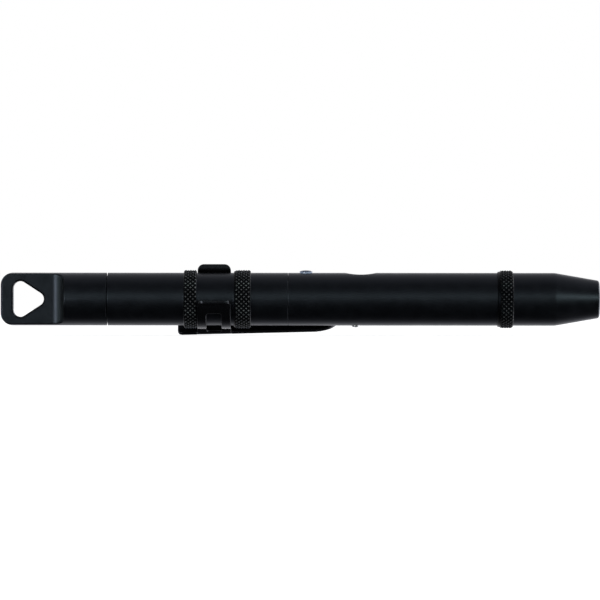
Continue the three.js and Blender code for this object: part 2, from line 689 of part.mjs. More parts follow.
function driverPieces() {
    const boardZ = BOARD_TOP - BOARD_T / 2;
    const underside = BOARD_TOP - BOARD_T - SEAT_GAP;
    const boardX = BOARD_START + BOARD_LENGTH / 2;
    return [
        piece('contact_pad', rod(0, CONTACT_PAD_T, CONTACT_PAD_D / 2), BRASS, CONTACT_START),
        piece('contact_board', rod(0, CONTACT_BOARD_T, CHAMBER_R - CONTACT_BOARD_GAP,
            BODY_SEGMENTS / 2), BOARD_GREEN, CONTACT_BOARD_START),
        piece('carrier_tray', carrierTray(), TRAY_GREY, BOARD_START),
        piece('carrier_stud', stud(), SPRING_STEEL, STUD_X),
        piece('driver_board', block(BOARD_LENGTH, BOARD_WIDTH, BOARD_T), BOARD_GREEN,
            boardX, 0, boardZ),
        onBoard('driver_capacitor', CAPACITOR_LENGTH, CAPACITOR_WIDTH, CAPACITOR_HEIGHT,
            CAPACITOR_TAN, FRONT_START + CAPACITOR_OFFSET),
        onBoard('indicator_led', INDICATOR_LED_SIZE, INDICATOR_LED_SIZE, INDICATOR_LED_HEIGHT,
            LED_WHITE, INDICATOR_X),
        piece('driver_chip', block(CHIP_LENGTH, CHIP_WIDTH, CHIP_HEIGHT), CHIP_BLACK,
            BOARD_START + BOARD_LENGTH - CHIP_SETBACK, 0, underside - CHIP_HEIGHT / 2),
        piece('driver_inductor', pillar(-INDUCTOR_HEIGHT, 0, INDUCTOR_D / 2), CHIP_BLACK,
            BOARD_START + BOARD_LENGTH - INDUCTOR_SETBACK, 0, underside),
    ];
}

// Side button: a flanged plunger that presses the switch under the thumb dish.
function buttonCap() {
    return upright([
        [BUTTON_FLOOR, 0],
        [BUTTON_FLOOR, BUTTON_FLANGE_D / 2],
        [BUTTON_FLANGE_TOP, BUTTON_FLANGE_D / 2],
        [BUTTON_FLANGE_TOP, BUTTON_D / 2],
        [BUTTON_TOP - EDGE_BREAK, BUTTON_D / 2],
        [BUTTON_TOP, BUTTON_D / 2 - EDGE_BREAK],
        [BUTTON_TOP, 0],
    ]);
}

function switchBody() {
    const body = block(SWITCH_SIZE, SWITCH_SIZE, SWITCH_HEIGHT)
        .translate(0, 0, SWITCH_BASE + SWITCH_HEIGHT / 2);
    return cut(body, pillar(WELL_FLOOR, BODY_R, PLUNGER_D / 2 + PLUNGER_GAP));
}

function buttonGuide() {
    const frame = pillar(SWITCH_BASE, SWITCH_BASE + GUIDE_HEIGHT, GUIDE_D / 2);
    return cut(frame, pillar(0, BODY_R, BUTTON_FLANGE_D / 2 + GUIDE_GAP));
}

function indicatorLens() {
    const crown = BODY_R + INDICATOR_PROUD;
    const radius = INDICATOR_D / 2;
    const rise = INDICATOR_PROUD - INDICATOR_SKIRT;
    const sphereR = (radius ** 2 + rise ** 2) / (2 * rise);
    const sweep = Math.asin(radius / sphereR);
    const arc = Array.from({ length: ARC_STEPS }, (_, i) => {
        const angle = sweep * (1 - i / ARC_STEPS);
        return [crown - sphereR * (1 - Math.cos(angle)), sphereR * Math.sin(angle)];
    });
    return upright([[CHAMBER_R, 0], [CHAMBER_R, radius], ...arc, [crown, 0]]);
}

function buttonPieces() {
    const plunger = pillar(WELL_FLOOR + BUTTON_TRAVEL + SEAT_GAP, BUTTON_FLOOR - SEAT_GAP,
        PLUNGER_D / 2);
    return [
        piece('button_cap', buttonCap(), RUBBER, BUTTON_X),
        piece('switch_plunger', plunger, TRAY_GREY, BUTTON_X),
        piece('switch_body', switchBody(), CHIP_BLACK, BUTTON_X),
        piece('button_guide', buttonGuide(), TRAY_GREY, BUTTON_X),
        piece('indicator_lens', indicatorLens(), CLEAR_BLUE, INDICATOR_X),
    ];
}

// Heat sink: a plug in the barrel with a post that carries the LED board.
function heatSink() {
    const plugR = CHAMBER_R - TRAY_GAP;
    const plugEnd = FRONT_END - REST_GAP;
    const blank = turned([
        [SINK_START, 0],
        [SINK_START, plugR],
        [plugEnd, plugR],
        [plugEnd, SINK_POST_R],
        [SINK_END, SINK_POST_R],
        [SINK_END, 0],
    ]);
    const bores = [-WIRE_OFFSET, WIRE_OFFSET].map((y) => (
        rod(SINK_START - REST_GAP, SINK_END + REST_GAP, WIRE_BORE_D / 2)
            .translate(0, y, WIRE_Z)));
    return cut(blank, ...bores);
}

function lightPieces() {
    const wireStart = BOARD_START + BOARD_LENGTH - WIRE_LAP;
    const wire = () => rod(wireStart, LED_BOARD_START - SEAT_GAP, WIRE_D / 2, ARC_STEPS * 2);
    const domeR = LED_DOME_D / 2;
    const dome = Array.from({ length: ARC_STEPS }, (_, i) => {
        const angle = Math.PI / 2 * (1 - i / ARC_STEPS);
        return [domeR * Math.cos(angle), domeR * Math.sin(angle)];
    });
    return [
        piece('heat_sink', heatSink(), ALUMINIUM),
        piece('wire_positive', wire(), WIRE_RED_SKIN, 0, -WIRE_OFFSET, WIRE_Z),
        piece('wire_negative', wire(), WIRE_BLACK_SKIN, 0, WIRE_OFFSET, WIRE_Z),
        piece('led_board', rod(0, LED_BOARD_T, SINK_POST_R - LED_BOARD_INSET), BOARD_WHITE, LED_BOARD_START),
        piece('led_base', block(LED_BASE_T, LED_BASE_SIZE, LED_BASE_SIZE), LED_WHITE,
            LED_BASE_START + LED_BASE_T / 2),
        piece('led_dome', turned([[0, 0], ...dome, [domeR, 0]], SMALL_SEGMENTS), CLEAR_VIOLET,
            LED_DOME_START),
        piece('neck_oring', oring(), RUBBER,
            FRONT_END + ORING_SETBACK + ORING_GROOVE_WIDTH / 2),
    ];
}

// Nose head: knurled grip ring, cylinder and cone, bored for the light source.
function noseHead() {
    const ringR = BODY_R + NOSE_RING_HEIGHT;
    const ringEnd = NOSE_START + NOSE_RING_WIDTH;
    const tipR = CONE_END_D / 2;
    const lip = NOSE_END - LIP_T;
    const apertureR = LENS_FACE_D / 2 + LENS_APERTURE_GAP;
    const threadEnd = NECK_END + THREAD_RUNOUT;
    return turned([
        [NOSE_START, THREAD_BORE_R],
        [NOSE_START, ringR - RING_EDGE],
        [NOSE_START + RING_EDGE, ringR],
        [ringEnd - RING_EDGE, ringR],
        [ringEnd, ringR - RING_EDGE],
        [ringEnd, BODY_R],
        [NOSE_END - CONE_LENGTH, BODY_R],
        [NOSE_END - EDGE_BREAK, tipR],
        [NOSE_END, tipR - EDGE_BREAK],
        [NOSE_END, apertureR],
        [lip, apertureR],
        [lip, LENS_SEAT_R],
        [LENS_SEAT_START, LENS_SEAT_R],
        [NOSE_BORE_END, NOSE_BORE_R],
        [threadEnd, NOSE_BORE_R],
        [threadEnd, THREAD_BORE_R],
        [NOSE_START, THREAD_BORE_R],
    ]);
}

// Reflector: a mirrored tube between the LED board and the lens, following the nose's bore.
function reflector() {
    const wideR = NOSE_BORE_R - REFLECTOR_GAP;
    const narrowR = LENS_SEAT_R - REFLECTOR_GAP;
    const throatR = REFLECTOR_THROAT_D / 2;
    return turned([
        [REFLECTOR_START, throatR],
        [REFLECTOR_START, wideR],
        [NOSE_BORE_END, wideR],
        [LENS_SEAT_START, narrowR],
        [REFLECTOR_FRONT, narrowR],
        [REFLECTOR_FRONT, narrowR - REFLECTOR_WALL],
        [LENS_SEAT_START, narrowR - REFLECTOR_WALL],
        [NOSE_BORE_END, wideR - REFLECTOR_WALL],
        [REFLECTOR_START, throatR],
    ]);
}

function noseLens() {
    const rear = LENS_FRONT - LENS_T;
    return turned([
        [rear, 0],
        [rear, LENS_D / 2],
        [LENS_FRONT, LENS_D / 2],
        [LENS_FRONT, LENS_FACE_D / 2],
        [LENS_FACE, LENS_FACE_D / 2],
        [LENS_FACE, 0],
    ]);
}

function nosePieces() {
    const gasketR = LENS_D / 2;
    const gasket = sleeve(GASKET_FRONT - GASKET_T, GASKET_FRONT, gasketR - GASKET_WALL, gasketR,
        BODY_SEGMENTS / 2);
    return [
        piece('nose_head', noseHead(), ANODISED),
        piece('reflector', reflector(), ALUMINIUM),
        piece('lens_gasket', gasket, RUBBER),
        piece('nose_lens', noseLens(), CLEAR_VIOLET),
    ];
}

function penlight() {
    const pen = new THREE.Group();
    pen.name = 'counterfeit_detector_pen';
    pen.add(...tailPieces());
    pen.add(...cellPieces());
    pen.add(piece('rear_barrel', rearBarrel(), ANODISED));
    pen.add(piece('pocket_clip', pocketClip(), CLIP_BLACK, GROOVE_START + CLIP_END_GAP));
    pen.add(piece('front_barrel', frontBarrel(), ANODISED));
    pen.add(...driverPieces());
    pen.add(...buttonPieces());
    pen.add(...lightPieces());
    pen.add(...nosePieces());
    pen.position.x = -LENS_FACE;
    const model = new THREE.Group();
    model.add(pen);
    return model;
}

export default penlight();
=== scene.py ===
"""Looks for the counterfeit detector pen: a satin black penlight on a pale floor.

Every size is in millimetres until a mesh is made. Places along the pen come from the
frame's boxes; the pen's axis is the X axis and the thumb button faces +Z.
"""
import json
import math

import bmesh
import bpy
import numpy as np
from mathutils import Matrix, Vector


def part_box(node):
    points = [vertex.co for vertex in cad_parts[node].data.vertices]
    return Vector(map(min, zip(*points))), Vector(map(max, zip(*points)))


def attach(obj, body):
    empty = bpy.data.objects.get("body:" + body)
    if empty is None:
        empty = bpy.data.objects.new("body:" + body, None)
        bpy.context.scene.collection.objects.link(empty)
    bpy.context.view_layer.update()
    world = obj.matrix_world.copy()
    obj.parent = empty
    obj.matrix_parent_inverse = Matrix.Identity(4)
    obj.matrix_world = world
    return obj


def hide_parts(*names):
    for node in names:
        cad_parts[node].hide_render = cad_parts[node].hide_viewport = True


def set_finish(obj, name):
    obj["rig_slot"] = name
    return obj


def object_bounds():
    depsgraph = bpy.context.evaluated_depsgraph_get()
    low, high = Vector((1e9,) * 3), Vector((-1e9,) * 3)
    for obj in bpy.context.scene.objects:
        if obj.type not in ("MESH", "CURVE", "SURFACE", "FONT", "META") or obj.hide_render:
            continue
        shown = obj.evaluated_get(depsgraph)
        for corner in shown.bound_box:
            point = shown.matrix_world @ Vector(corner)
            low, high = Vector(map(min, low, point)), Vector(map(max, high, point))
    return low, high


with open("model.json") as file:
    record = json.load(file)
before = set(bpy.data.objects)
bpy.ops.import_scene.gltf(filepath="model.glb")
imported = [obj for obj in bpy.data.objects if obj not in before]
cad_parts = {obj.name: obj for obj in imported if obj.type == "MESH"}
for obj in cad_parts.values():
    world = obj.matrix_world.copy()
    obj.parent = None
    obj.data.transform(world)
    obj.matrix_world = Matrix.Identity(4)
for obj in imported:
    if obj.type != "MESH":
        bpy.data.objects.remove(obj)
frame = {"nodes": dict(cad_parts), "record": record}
cad_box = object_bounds()

MM = 0.001
TURN = 2 * math.pi


def span(node):
    """Where a node starts and ends along the pen, in millimetres."""
    low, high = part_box(node)
    return low[0] / MM, high[0] / MM


def radius_of(node):
    """How far a round node reaches to the side of the pen's axis."""
    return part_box(node)[1][1] / MM


# Driving sizes from the frame.
TAIL_START, SPIGOT_END = span("tail_cap")
REAR_START, REAR_END = span("rear_barrel")
FRONT_SPIGOT, NECK_END = span("front_barrel")
NOSE_START, NOSE_END = span("nose_head")
CLIP_START, CLIP_END = span("pocket_clip")
BUTTON_X = sum(span("button_cap")) / 2
LAMP_X = sum(span("indicator_lens")) / 2
STUD_X = sum(span("carrier_stud")) / 2
BODY_R = radius_of("front_barrel")
RING_R = radius_of("rear_barrel")
NOSE_RING_R = radius_of("nose_head")

# Sizes shared by several pieces.
SEGMENTS = 480
CREASE = 32
EDGE_SUPPORT = 0.03
TAIL_SEAM = 0.1
MID_SEAM = 0.04
NOSE_SEAM = 0.05
CHAMBER_R = 5.45
NECK_BORE_R = 4.75

# Threads, and the spigots and bores that carry them.
THREAD_R = 6.0
THREAD_DEPTH = 0.22
THREAD_PITCH = 1.0
THREAD_STEP = 0.1
THREAD_CLEARANCE = 0.05
CREST_R = THREAD_R - THREAD_CLEARANCE + THREAD_DEPTH
MOUTH_R = THREAD_R + THREAD_CLEARANCE + THREAD_DEPTH
MOUTH_FLARE = 0.06
LAND_R = THREAD_R - 0.08
PLAIN_R = THREAD_R - 0.1
BORE_R = THREAD_R - 0.12
RELIEF_R = THREAD_R - 0.2
RELIEF_LENGTH = 0.3
TIP_R = THREAD_R - 0.3
GROOVE_WIDTH = 1.1
ORING_SEAT_R = 5.3

# Knurling. The crop flattens the peaks of the diamonds.
KNURL_COUNT = 38
KNURL_DEPTH = 0.34
KNURL_CROP = 1.1
KNURL_ROWS = 10


# ---- mesh helpers

def make_object(name, vertices, faces, body, slot, nodes=(), sharp=CREASE):
    """A mesh object from millimetre vertices, shaded smooth with sharp creases."""
    mesh = bpy.data.meshes.new(name)
    mesh.from_pydata((np.asarray(vertices) * MM).tolist(), [], faces)
    mesh.validate()
    obj = bpy.data.objects.new(name, mesh)
    bpy.context.scene.collection.objects.link(obj)
    crease(obj, sharp)
    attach(obj, body)
    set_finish(obj, slot)
    if nodes:
        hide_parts(*nodes)
    return obj


def crease(obj, degrees=CREASE):
    """Smooth shading, with edges sharper than this angle kept hard."""
    bm = bmesh.new()
    bm.from_mesh(obj.data)
    bmesh.ops.recalc_face_normals(bm, faces=bm.faces)
    limit = math.radians(degrees)
    for face in bm.faces:
        face.smooth = True
    for edge in bm.edges:
        if len(edge.link_faces) == 2:
            edge.smooth = edge.calc_face_angle(0.0) < limit
    bm.to_mesh(obj.data)
    bm.free()


def rounded(corners, steps=5):
    """Points along an outline of (x, r, fillet radius) with its corners rounded off."""
    points = []
    for i, (x, r, fillet) in enumerate(corners):
        here = np.array([x, r], dtype=float)
        inside = 0 < i < len(corners) - 1
        if fillet <= 0 or not inside:
            points.append(here)
            continue
        before = np.array(corners[i - 1][:2], dtype=float) - here
        after = np.array(corners[i + 1][:2], dtype=float) - here
        len_before, len_after = np.linalg.norm(before), np.linalg.norm(after)
        before /= len_before
        after /= len_after
        half = math.acos(np.clip(before @ after, -1, 1)) / 2
        reach = min(fillet / math.tan(half), 0.45 * len_before, 0.45 * len_after)
        fillet = reach * math.tan(half)
        centre = here + (before + after) / np.linalg.norm(before + after) * fillet / math.sin(half)
        start, end = here + before * reach, here + after * reach
        a, b = start - centre, end - centre
        sweep = math.pi - 2 * half
        support = min(EDGE_SUPPORT, 0.4 * reach)
        points.append(start + before * support)
        for k in range(steps + 1):
            t = k / steps
            points.append(centre + (a * math.sin((1 - t) * sweep) + b * math.sin(t * sweep))
                    / math.sin(sweep))
        points.append(end + after * support)
    return [(p[0], p[1]) for p in points]


def runs(x0, x1, r, step):
    """Evenly spaced points along a straight stretch, ends included."""
    count = max(1, round(abs(x1 - x0) / step))
    return [(x0 + (x1 - x0) * k / count, r) for k in range(count + 1)]


def revolve(name, outline, body, slot, nodes=(), segments=SEGMENTS, shape=None):
    """Turns an outline of (x, r) about the pen's axis.

    The outline either closes on itself or starts and ends on the axis. shape, if given,
    takes (x, angle, r) arrays and returns new radii. Angle 0 is +Z.
    """
    xs = np.array([p[0] for p in outline])
    rs = np.array([p[1] for p in outline])
    angles = np.arange(segments) * TURN / segments
    closed = np.allclose(outline[0], outline[-1])
    if closed:
        xs, rs = xs[:-1], rs[:-1]
    rows = len(xs)
    grid_x = np.repeat(xs[:, None], segments, axis=1)
    grid_r = np.repeat(rs[:, None], segments, axis=1)
    grid_a = np.repeat(angles[None, :], rows, axis=0)
    if shape is not None:
        grid_r = shape(grid_x, grid_a, grid_r)
    vertices = np.stack([grid_x, grid_r * np.sin(grid_a), grid_r * np.cos(grid_a)], axis=-1)
    vertices = vertices.reshape(-1, 3)
    ring = np.arange(segments)
    after = (ring + 1) % segments
    faces = []
    on_axis = [not closed and rs[i] < 1e-6 for i in range(rows)]
    for i in range(rows if closed else rows - 1):
        j = (i + 1) % rows
        a, b, c, d = i * segments + ring, i * segments + after, j * segments + after, j * segments + ring
        if on_axis[i]:
            faces += np.stack([np.full(segments, i * segments), c, d], axis=-1).tolist()
        elif on_axis[j]:
            faces += np.stack([a, b, np.full(segments, j * segments)], axis=-1).tolist()
        else:
            faces += np.stack([a, b, c, d], axis=-1).tolist()
    used = np.zeros(len(vertices), dtype=bool)
    used[np.concatenate([np.array(f) for f in faces])] = True
    new_index = np.cumsum(used) - 1
    faces = [[int(new_index[v]) for v in f] for f in faces]
    return make_object(name, vertices[used], faces, body, slot, nodes)


def cut_away(target, *cutters):
    """Subtracts cutters from a mesh for good and removes them."""
    for cutter in cutters:
        modifier = target.modifiers.new("cut", "BOOLEAN")
        modifier.object = cutter
        modifier.operation = "DIFFERENCE"
        modifier.solver = "EXACT"
        graph = bpy.context.evaluated_depsgraph_get()
        mesh = bpy.data.meshes.new_from_object(target.evaluated_get(graph))
        target.modifiers.clear()
        target.data = mesh
        bpy.data.objects.remove(cutter)


def tube_faces(count, rings):
    """The faces round a stack of rings of count points each, capped at both ends."""
    faces = [list(range(count))[::-1]]
    for i in range(rings - 1):
        for k in range(count):
            n = (k + 1) % count
            faces.append([i * count + k, i * count + n, (i + 1) * count + n, (i + 1) * count + k])
    faces.append([(rings - 1) * count + k for k in range(count)])
    return faces


def loft(name, rings):
    """A closed solid from rings of millimetre points, on no body, to cut with or to bend."""
    faces = tube_faces(len(rings[0]), len(rings))
    mesh = bpy.data.meshes.new(name)
    vertices = np.concatenate([np.asarray(r, dtype=float) for r in rings]) * MM
    mesh.from_pydata(vertices.tolist(), [], faces)
    obj = bpy.data.objects.new(name, mesh)
    bpy.context.scene.collection.objects.link(obj)
    crease(obj, 180)
    return obj


def round_cutter(x, levels, count=64):
    """A cutter about a vertical line at station x. levels are (z, radius)."""
    angles = np.arange(count) * TURN / count
    return loft("cutter", [
        np.stack([x + r * np.cos(angles), r * np.sin(angles), np.full(count, z)], axis=-1)
        for z, r in levels])


def smooth_min(a, b, k):
    """The lesser of two values, blended over a width of k."""
    h = np.clip(0.5 + 0.5 * (b - a) / k, 0, 1)
    return b + (a - b) * h - k * h * (1 - h)


def thread_wave(x, angle):
    """A right-handed thread's height, from -1 to 1, with flat crests and roots."""
    return np.clip(1.5 * np.cos(TURN * (x / THREAD_PITCH + angle / TURN)), -1, 1)


def knurl_radius(x, angle, top):
    """Radius of a diamond knurl whose peaks reach top."""
    pitch = TURN * top / KNURL_COUNT
    across, along = angle / TURN * KNURL_COUNT, x / pitch

    def height(v):
        return np.abs(v - np.round(v)) * 2

    lowest = np.minimum(height(across + along), height(across - along))
    return top - KNURL_DEPTH * (1 - np.minimum(1, KNURL_CROP * lowest))


class Outline:
    """An outline built stretch by stretch, remembering which rows carry a pattern."""

    def __init__(self):
        self.points = []
        self.tags = []

    def add(self, points, tag=""):
        for point in points:
            last = self.points[-1] if self.points else None
            if last and math.dist(last, point) < 1e-5:
                self.tags[-1] = self.tags[-1] or tag
                continue
            self.points.append((float(point[0]), float(point[1])))
            self.tags.append(tag)
        return self

    def shaper(self, rules):
        """A shape function that applies each tag's rule to that tag's rows."""
        tags = np.array(self.tags)

        def shape(x, angle, r):
            out = r.copy()
            for tag, rule in rules.items():
                chosen = np.nonzero(tags[:len(out)] == tag)[0]
                if len(chosen):
                    out[chosen] = rule(x[chosen], angle[chosen], r[chosen])
            return out
        return shape


def male_thread(x, angle, r):
    return np.minimum(r, THREAD_R - THREAD_CLEARANCE + THREAD_DEPTH * thread_wave(x, angle))


def female_thread(x, angle, r):
    return np.maximum(r, THREAD_R + THREAD_CLEARANCE + THREAD_DEPTH * thread_wave(x, angle))


def oring_groove(node):
    """Where the groove starts that an O-ring sits in the middle of."""
    return (sum(span(node)) - GROOVE_WIDTH) / 2


def grooved_land(seat, groove):
    """Corners of a spigot's plain land and O-ring groove, as far as its thread."""
    end = groove + GROOVE_WIDTH
    return [(seat, LAND_R, 0.08), (groove, LAND_R, 0.05), (groove, ORING_SEAT_R, 0.1),
            (end, ORING_SEAT_R, 0.1), (end, RELIEF_R, 0.05), (end + RELIEF_LENGTH, RELIEF_R, 0)]


def threaded_tip(outline, groove, end, inside):
    """Adds a spigot's thread, its chamfered tip and then the corners inside it."""
    start = groove + GROOVE_WIDTH + RELIEF_LENGTH
    outline.add(runs(start, end - 0.4, CREST_R, THREAD_STEP), "male")
    outline.add(rounded([(end - 0.35, PLAIN_R, 0), (end, TIP_R, 0.08)] + inside))


def threaded_mouth(outline, thread_end, start, mouth):
    """Adds a bore's thread, cut outwards from thread_end, and its flared plain mouth."""
    outline.add(runs(thread_end, start + 2.2, BORE_R, THREAD_STEP), "female")
    outline.add([(start + 2.0, MOUTH_R), (mouth + 0.2, MOUTH_R), (mouth, MOUTH_R + MOUTH_FLARE)])


def knurl(x, angle, r):
    top = RING_R if np.max(x) < 0.5 * (REAR_END + NOSE_START) else NOSE_RING_R
    return np.minimum(r, knurl_radius(x, angle, top))


RING_ROOT = 0.4
RING_SHOULDER = 0.3


def knurled_ring(outline, start, end, shoulder=RING_SHOULDER):
    """Adds one of the rear barrel's raised rings, rising over the shoulder's length."""
    step = TURN * RING_R / KNURL_COUNT / KNURL_ROWS
    low = RING_R - RING_ROOT
    outline.add(rounded([(start - 1, BODY_R, 0), (start, BODY_R, 0.2), (start, low, 0)]))
    first, last = math.ceil((start + 0.01) / step), math.floor((end - 0.01) / step)
    for k in range(first, last + 1):
        x = k * step
        rise = min(1.0, (x - start) / shoulder, (end - x) / RING_SHOULDER)
        outline.add([(x, low + (RING_R - low) * math.sin(rise * math.pi / 2))], "knurl")
    outline.add(rounded([(end, low, 0), (end, BODY_R, 0.06), (end + 1, BODY_R, 0)]))


# ---- tail cap

TANG_HALF = 2.0
TANG_CORNER = 3.2
TANG_EDGE = 0.4
TANG_FLAT = 13.0
COVE_R = 3.0
SHOULDER_EDGE = 0.2
HOLE_INSET = 3.1
HOLE_APEX = 12.3
HOLE_HALF_ANGLE = math.radians(33)
HOLE_CORNER = 1.8
HOLE_CHAMFER = 0.45
TAIL_SHOULDER = REAR_START - TAIL_SEAM
SPRING_BORE_R = 4.3
TAIL_BORE_DEPTH = 6.2
CONTACT_SEAT = 2.2


def tang_rows():
    """Rows of (distance from the tail, half thickness, half height) along the tang."""
    rows = []
    tall = 9 * BODY_R
    for t in np.linspace(0, math.pi / 2, 22):
        d = TANG_CORNER * (1 - math.cos(t))
        inner = max(0.0, TANG_EDGE - d)
        half = TANG_HALF - TANG_EDGE + math.sqrt(TANG_EDGE ** 2 - inner ** 2)
        rows.append((d, half, BODY_R - TANG_CORNER * (1 - math.sin(t))))
    for d in np.linspace(TANG_CORNER, TANG_FLAT, 22)[1:]:
        rows.append((d, TANG_HALF, tall))
    for a in np.linspace(0, math.pi / 2, 18)[1:]:
        rows.append((TANG_FLAT + COVE_R * math.sin(a), TANG_HALF + COVE_R * (1 - math.cos(a)), tall))
    shoulder = TANG_FLAT + COVE_R
    for t in np.linspace(0, math.pi / 2, 6):
        rows.append((shoulder + SHOULDER_EDGE * (1 - math.cos(t)),
                BODY_R - SHOULDER_EDGE * (1 - math.sin(t)), tall))
    rows.append((shoulder + SHOULDER_EDGE + 0.05, tall, tall))
    return rows


def lanyard_outline(grow):
    """The rounded triangle of the lanyard hole in XZ, grown outwards by a margin."""
    steps = 10
    r = HOLE_CORNER
    slope = math.tan(HOLE_HALF_ANGLE)
    apex = HOLE_APEX - r / math.sin(HOLE_HALF_ANGLE)
    base = HOLE_INSET + r
    rise = (HOLE_APEX - base) * slope - r / math.cos(HOLE_HALF_ANGLE)
    turn = math.pi / 2 - HOLE_HALF_ANGLE
    corners = [(apex, 0, -turn, turn), (base, rise, turn, math.pi),
            (base, -rise, math.pi, TURN - turn)]
    points = []
    for x, z, start, end in corners:
        for k in range(steps + 1):
            a = start + (end - start) * k / steps
            points.append((TAIL_START + x + (r + grow) * math.cos(a), z + (r + grow) * math.sin(a)))
    return points


def tail_cap():
    """The tang with its lanyard hole, the cove behind it and the threaded spigot."""
    rows = tang_rows()
    outline = Outline()
    outline.add([(TAIL_START, 0)])
    outline.points += [(TAIL_START + d, BODY_R) for d, _, _ in rows]
    outline.tags += ["tang"] * len(rows)
    groove = oring_groove("tail_oring")
    outline.add(rounded([(TAIL_START + rows[-1][0], BODY_R, 0),
            (TAIL_SHOULDER - 0.02, BODY_R, 0.05)]
            + grooved_land(TAIL_SHOULDER, groove))[1:])
    threaded_tip(outline, groove, SPIGOT_END, [
        (SPIGOT_END, CHAMBER_R, 0.08),
        (TAIL_SHOULDER + CONTACT_SEAT, CHAMBER_R, 0.1),
        (TAIL_SHOULDER + CONTACT_SEAT, SPRING_BORE_R, 0.1),
        (TAIL_SHOULDER - TAIL_BORE_DEPTH, SPRING_BORE_R, 0.3),
        (TAIL_SHOULDER - TAIL_BORE_DEPTH, 0, 0)])
    limits = np.array([(half, tall) for _, half, tall in rows])

    def tang(x, angle, r):
        across = limits[:, :1] / np.maximum(np.abs(np.sin(angle)), 1e-4)
        upward = limits[:, 1:] / np.maximum(np.abs(np.cos(angle)), 1e-4)
        width = np.where(limits[:, :1] > TANG_HALF + COVE_R, 0.02, 0.35)
        return smooth_min(np.minimum(r, upward), across, width)

    cap = revolve("tail_cap_turned", outline.points, "tail", "anodised_black", ["tail_cap"],
            shape=outline.shaper({"tang": tang, "male": male_thread}))
    reach = TANG_HALF + 2
    levels = [(-reach, HOLE_CHAMFER + 2), (HOLE_CHAMFER - TANG_HALF, 0),
            (TANG_HALF - HOLE_CHAMFER, 0), (reach, HOLE_CHAMFER + 2)]
    hole = loft("cutter", [[(x, y, z) for x, z in lanyard_outline(grow)] for y, grow in levels])
    cut_away(cap, hole)
    crease(cap)
    return cap


# ---- barrels

MOUTH_SETBACK = 0.15
REAR_THREAD = 6.8
MID_SOCKET = 7
RING_1_OFFSET = 19.2
RING_1_WIDTH = 3.4
RING_1_TRIM = 0.2
CLIP_GROOVE = 9.6
RING_2_RAMP = 0.5
RING_2_WIDTH = 3.7
RING_2_SHOULDER = 1.1
NOSE_RING_WIDTH = 3.85
DISH_R = 11.3
DISH_DEPTH = 0.64
DISH_HALF = 4.8
DISH_STEP = 0.11
BUTTON_HOLE_R = 1.75
BUTTON_CHAMFER = 0.14
LAMP_HOLE_R = 1.62
STUD_HOLE_R = 0.97


def rear_barrel():
    """The cell's barrel, with two knurled rings and the clip's groove between them."""
    ring_1 = REAR_START + RING_1_OFFSET
    ring_2 = ring_1 + RING_1_WIDTH + CLIP_GROOVE
    thread_end = REAR_START + REAR_THREAD
    mouth = REAR_START + MOUTH_SETBACK
    outline = Outline()
    outline.add([(mouth, MOUTH_R + MOUTH_FLARE)])
    outline.add(rounded([(mouth, MOUTH_R + MOUTH_FLARE, 0), (mouth + 0.01, BODY_R, 0.2),
            (mouth + 1, BODY_R, 0)]))
    knurled_ring(outline, ring_1, ring_1 + RING_1_WIDTH - RING_1_TRIM)
    knurled_ring(outline, ring_2 - RING_2_RAMP, ring_2 + RING_2_WIDTH, RING_2_SHOULDER)
    outline.add(rounded([(REAR_END - 1, BODY_R, 0), (REAR_END, BODY_R, 0.12),
            (REAR_END, THREAD_R, 0.05), (REAR_END - MID_SOCKET, THREAD_R, 0.05),
            (REAR_END - MID_SOCKET, CHAMBER_R, 0.1), (thread_end, CHAMBER_R, 0.1),
            (thread_end, PLAIN_R, 0)])[1:])
    threaded_mouth(outline, thread_end, REAR_START, mouth)
    shape = outline.shaper({"knurl": knurl, "female": female_thread})
    return revolve("rear_barrel_turned", outline.points, "main", "anodised_black",
            ["rear_barrel"], shape=shape)


def dished(x, angle, r):
    """The barrel's radius where the spherical thumb dish is milled into its top."""
    centre = BODY_R - DISH_DEPTH + DISH_R
    along = x - BUTTON_X
    level = centre * np.cos(angle)
    inside = level ** 2 - (centre ** 2 + along ** 2 - DISH_R ** 2)
    floor = np.where((inside > 0) & (np.cos(angle) > 0), level - np.sqrt(np.maximum(inside, 0)),
            2 * BODY_R)
    return smooth_min(r, floor, 0.12)


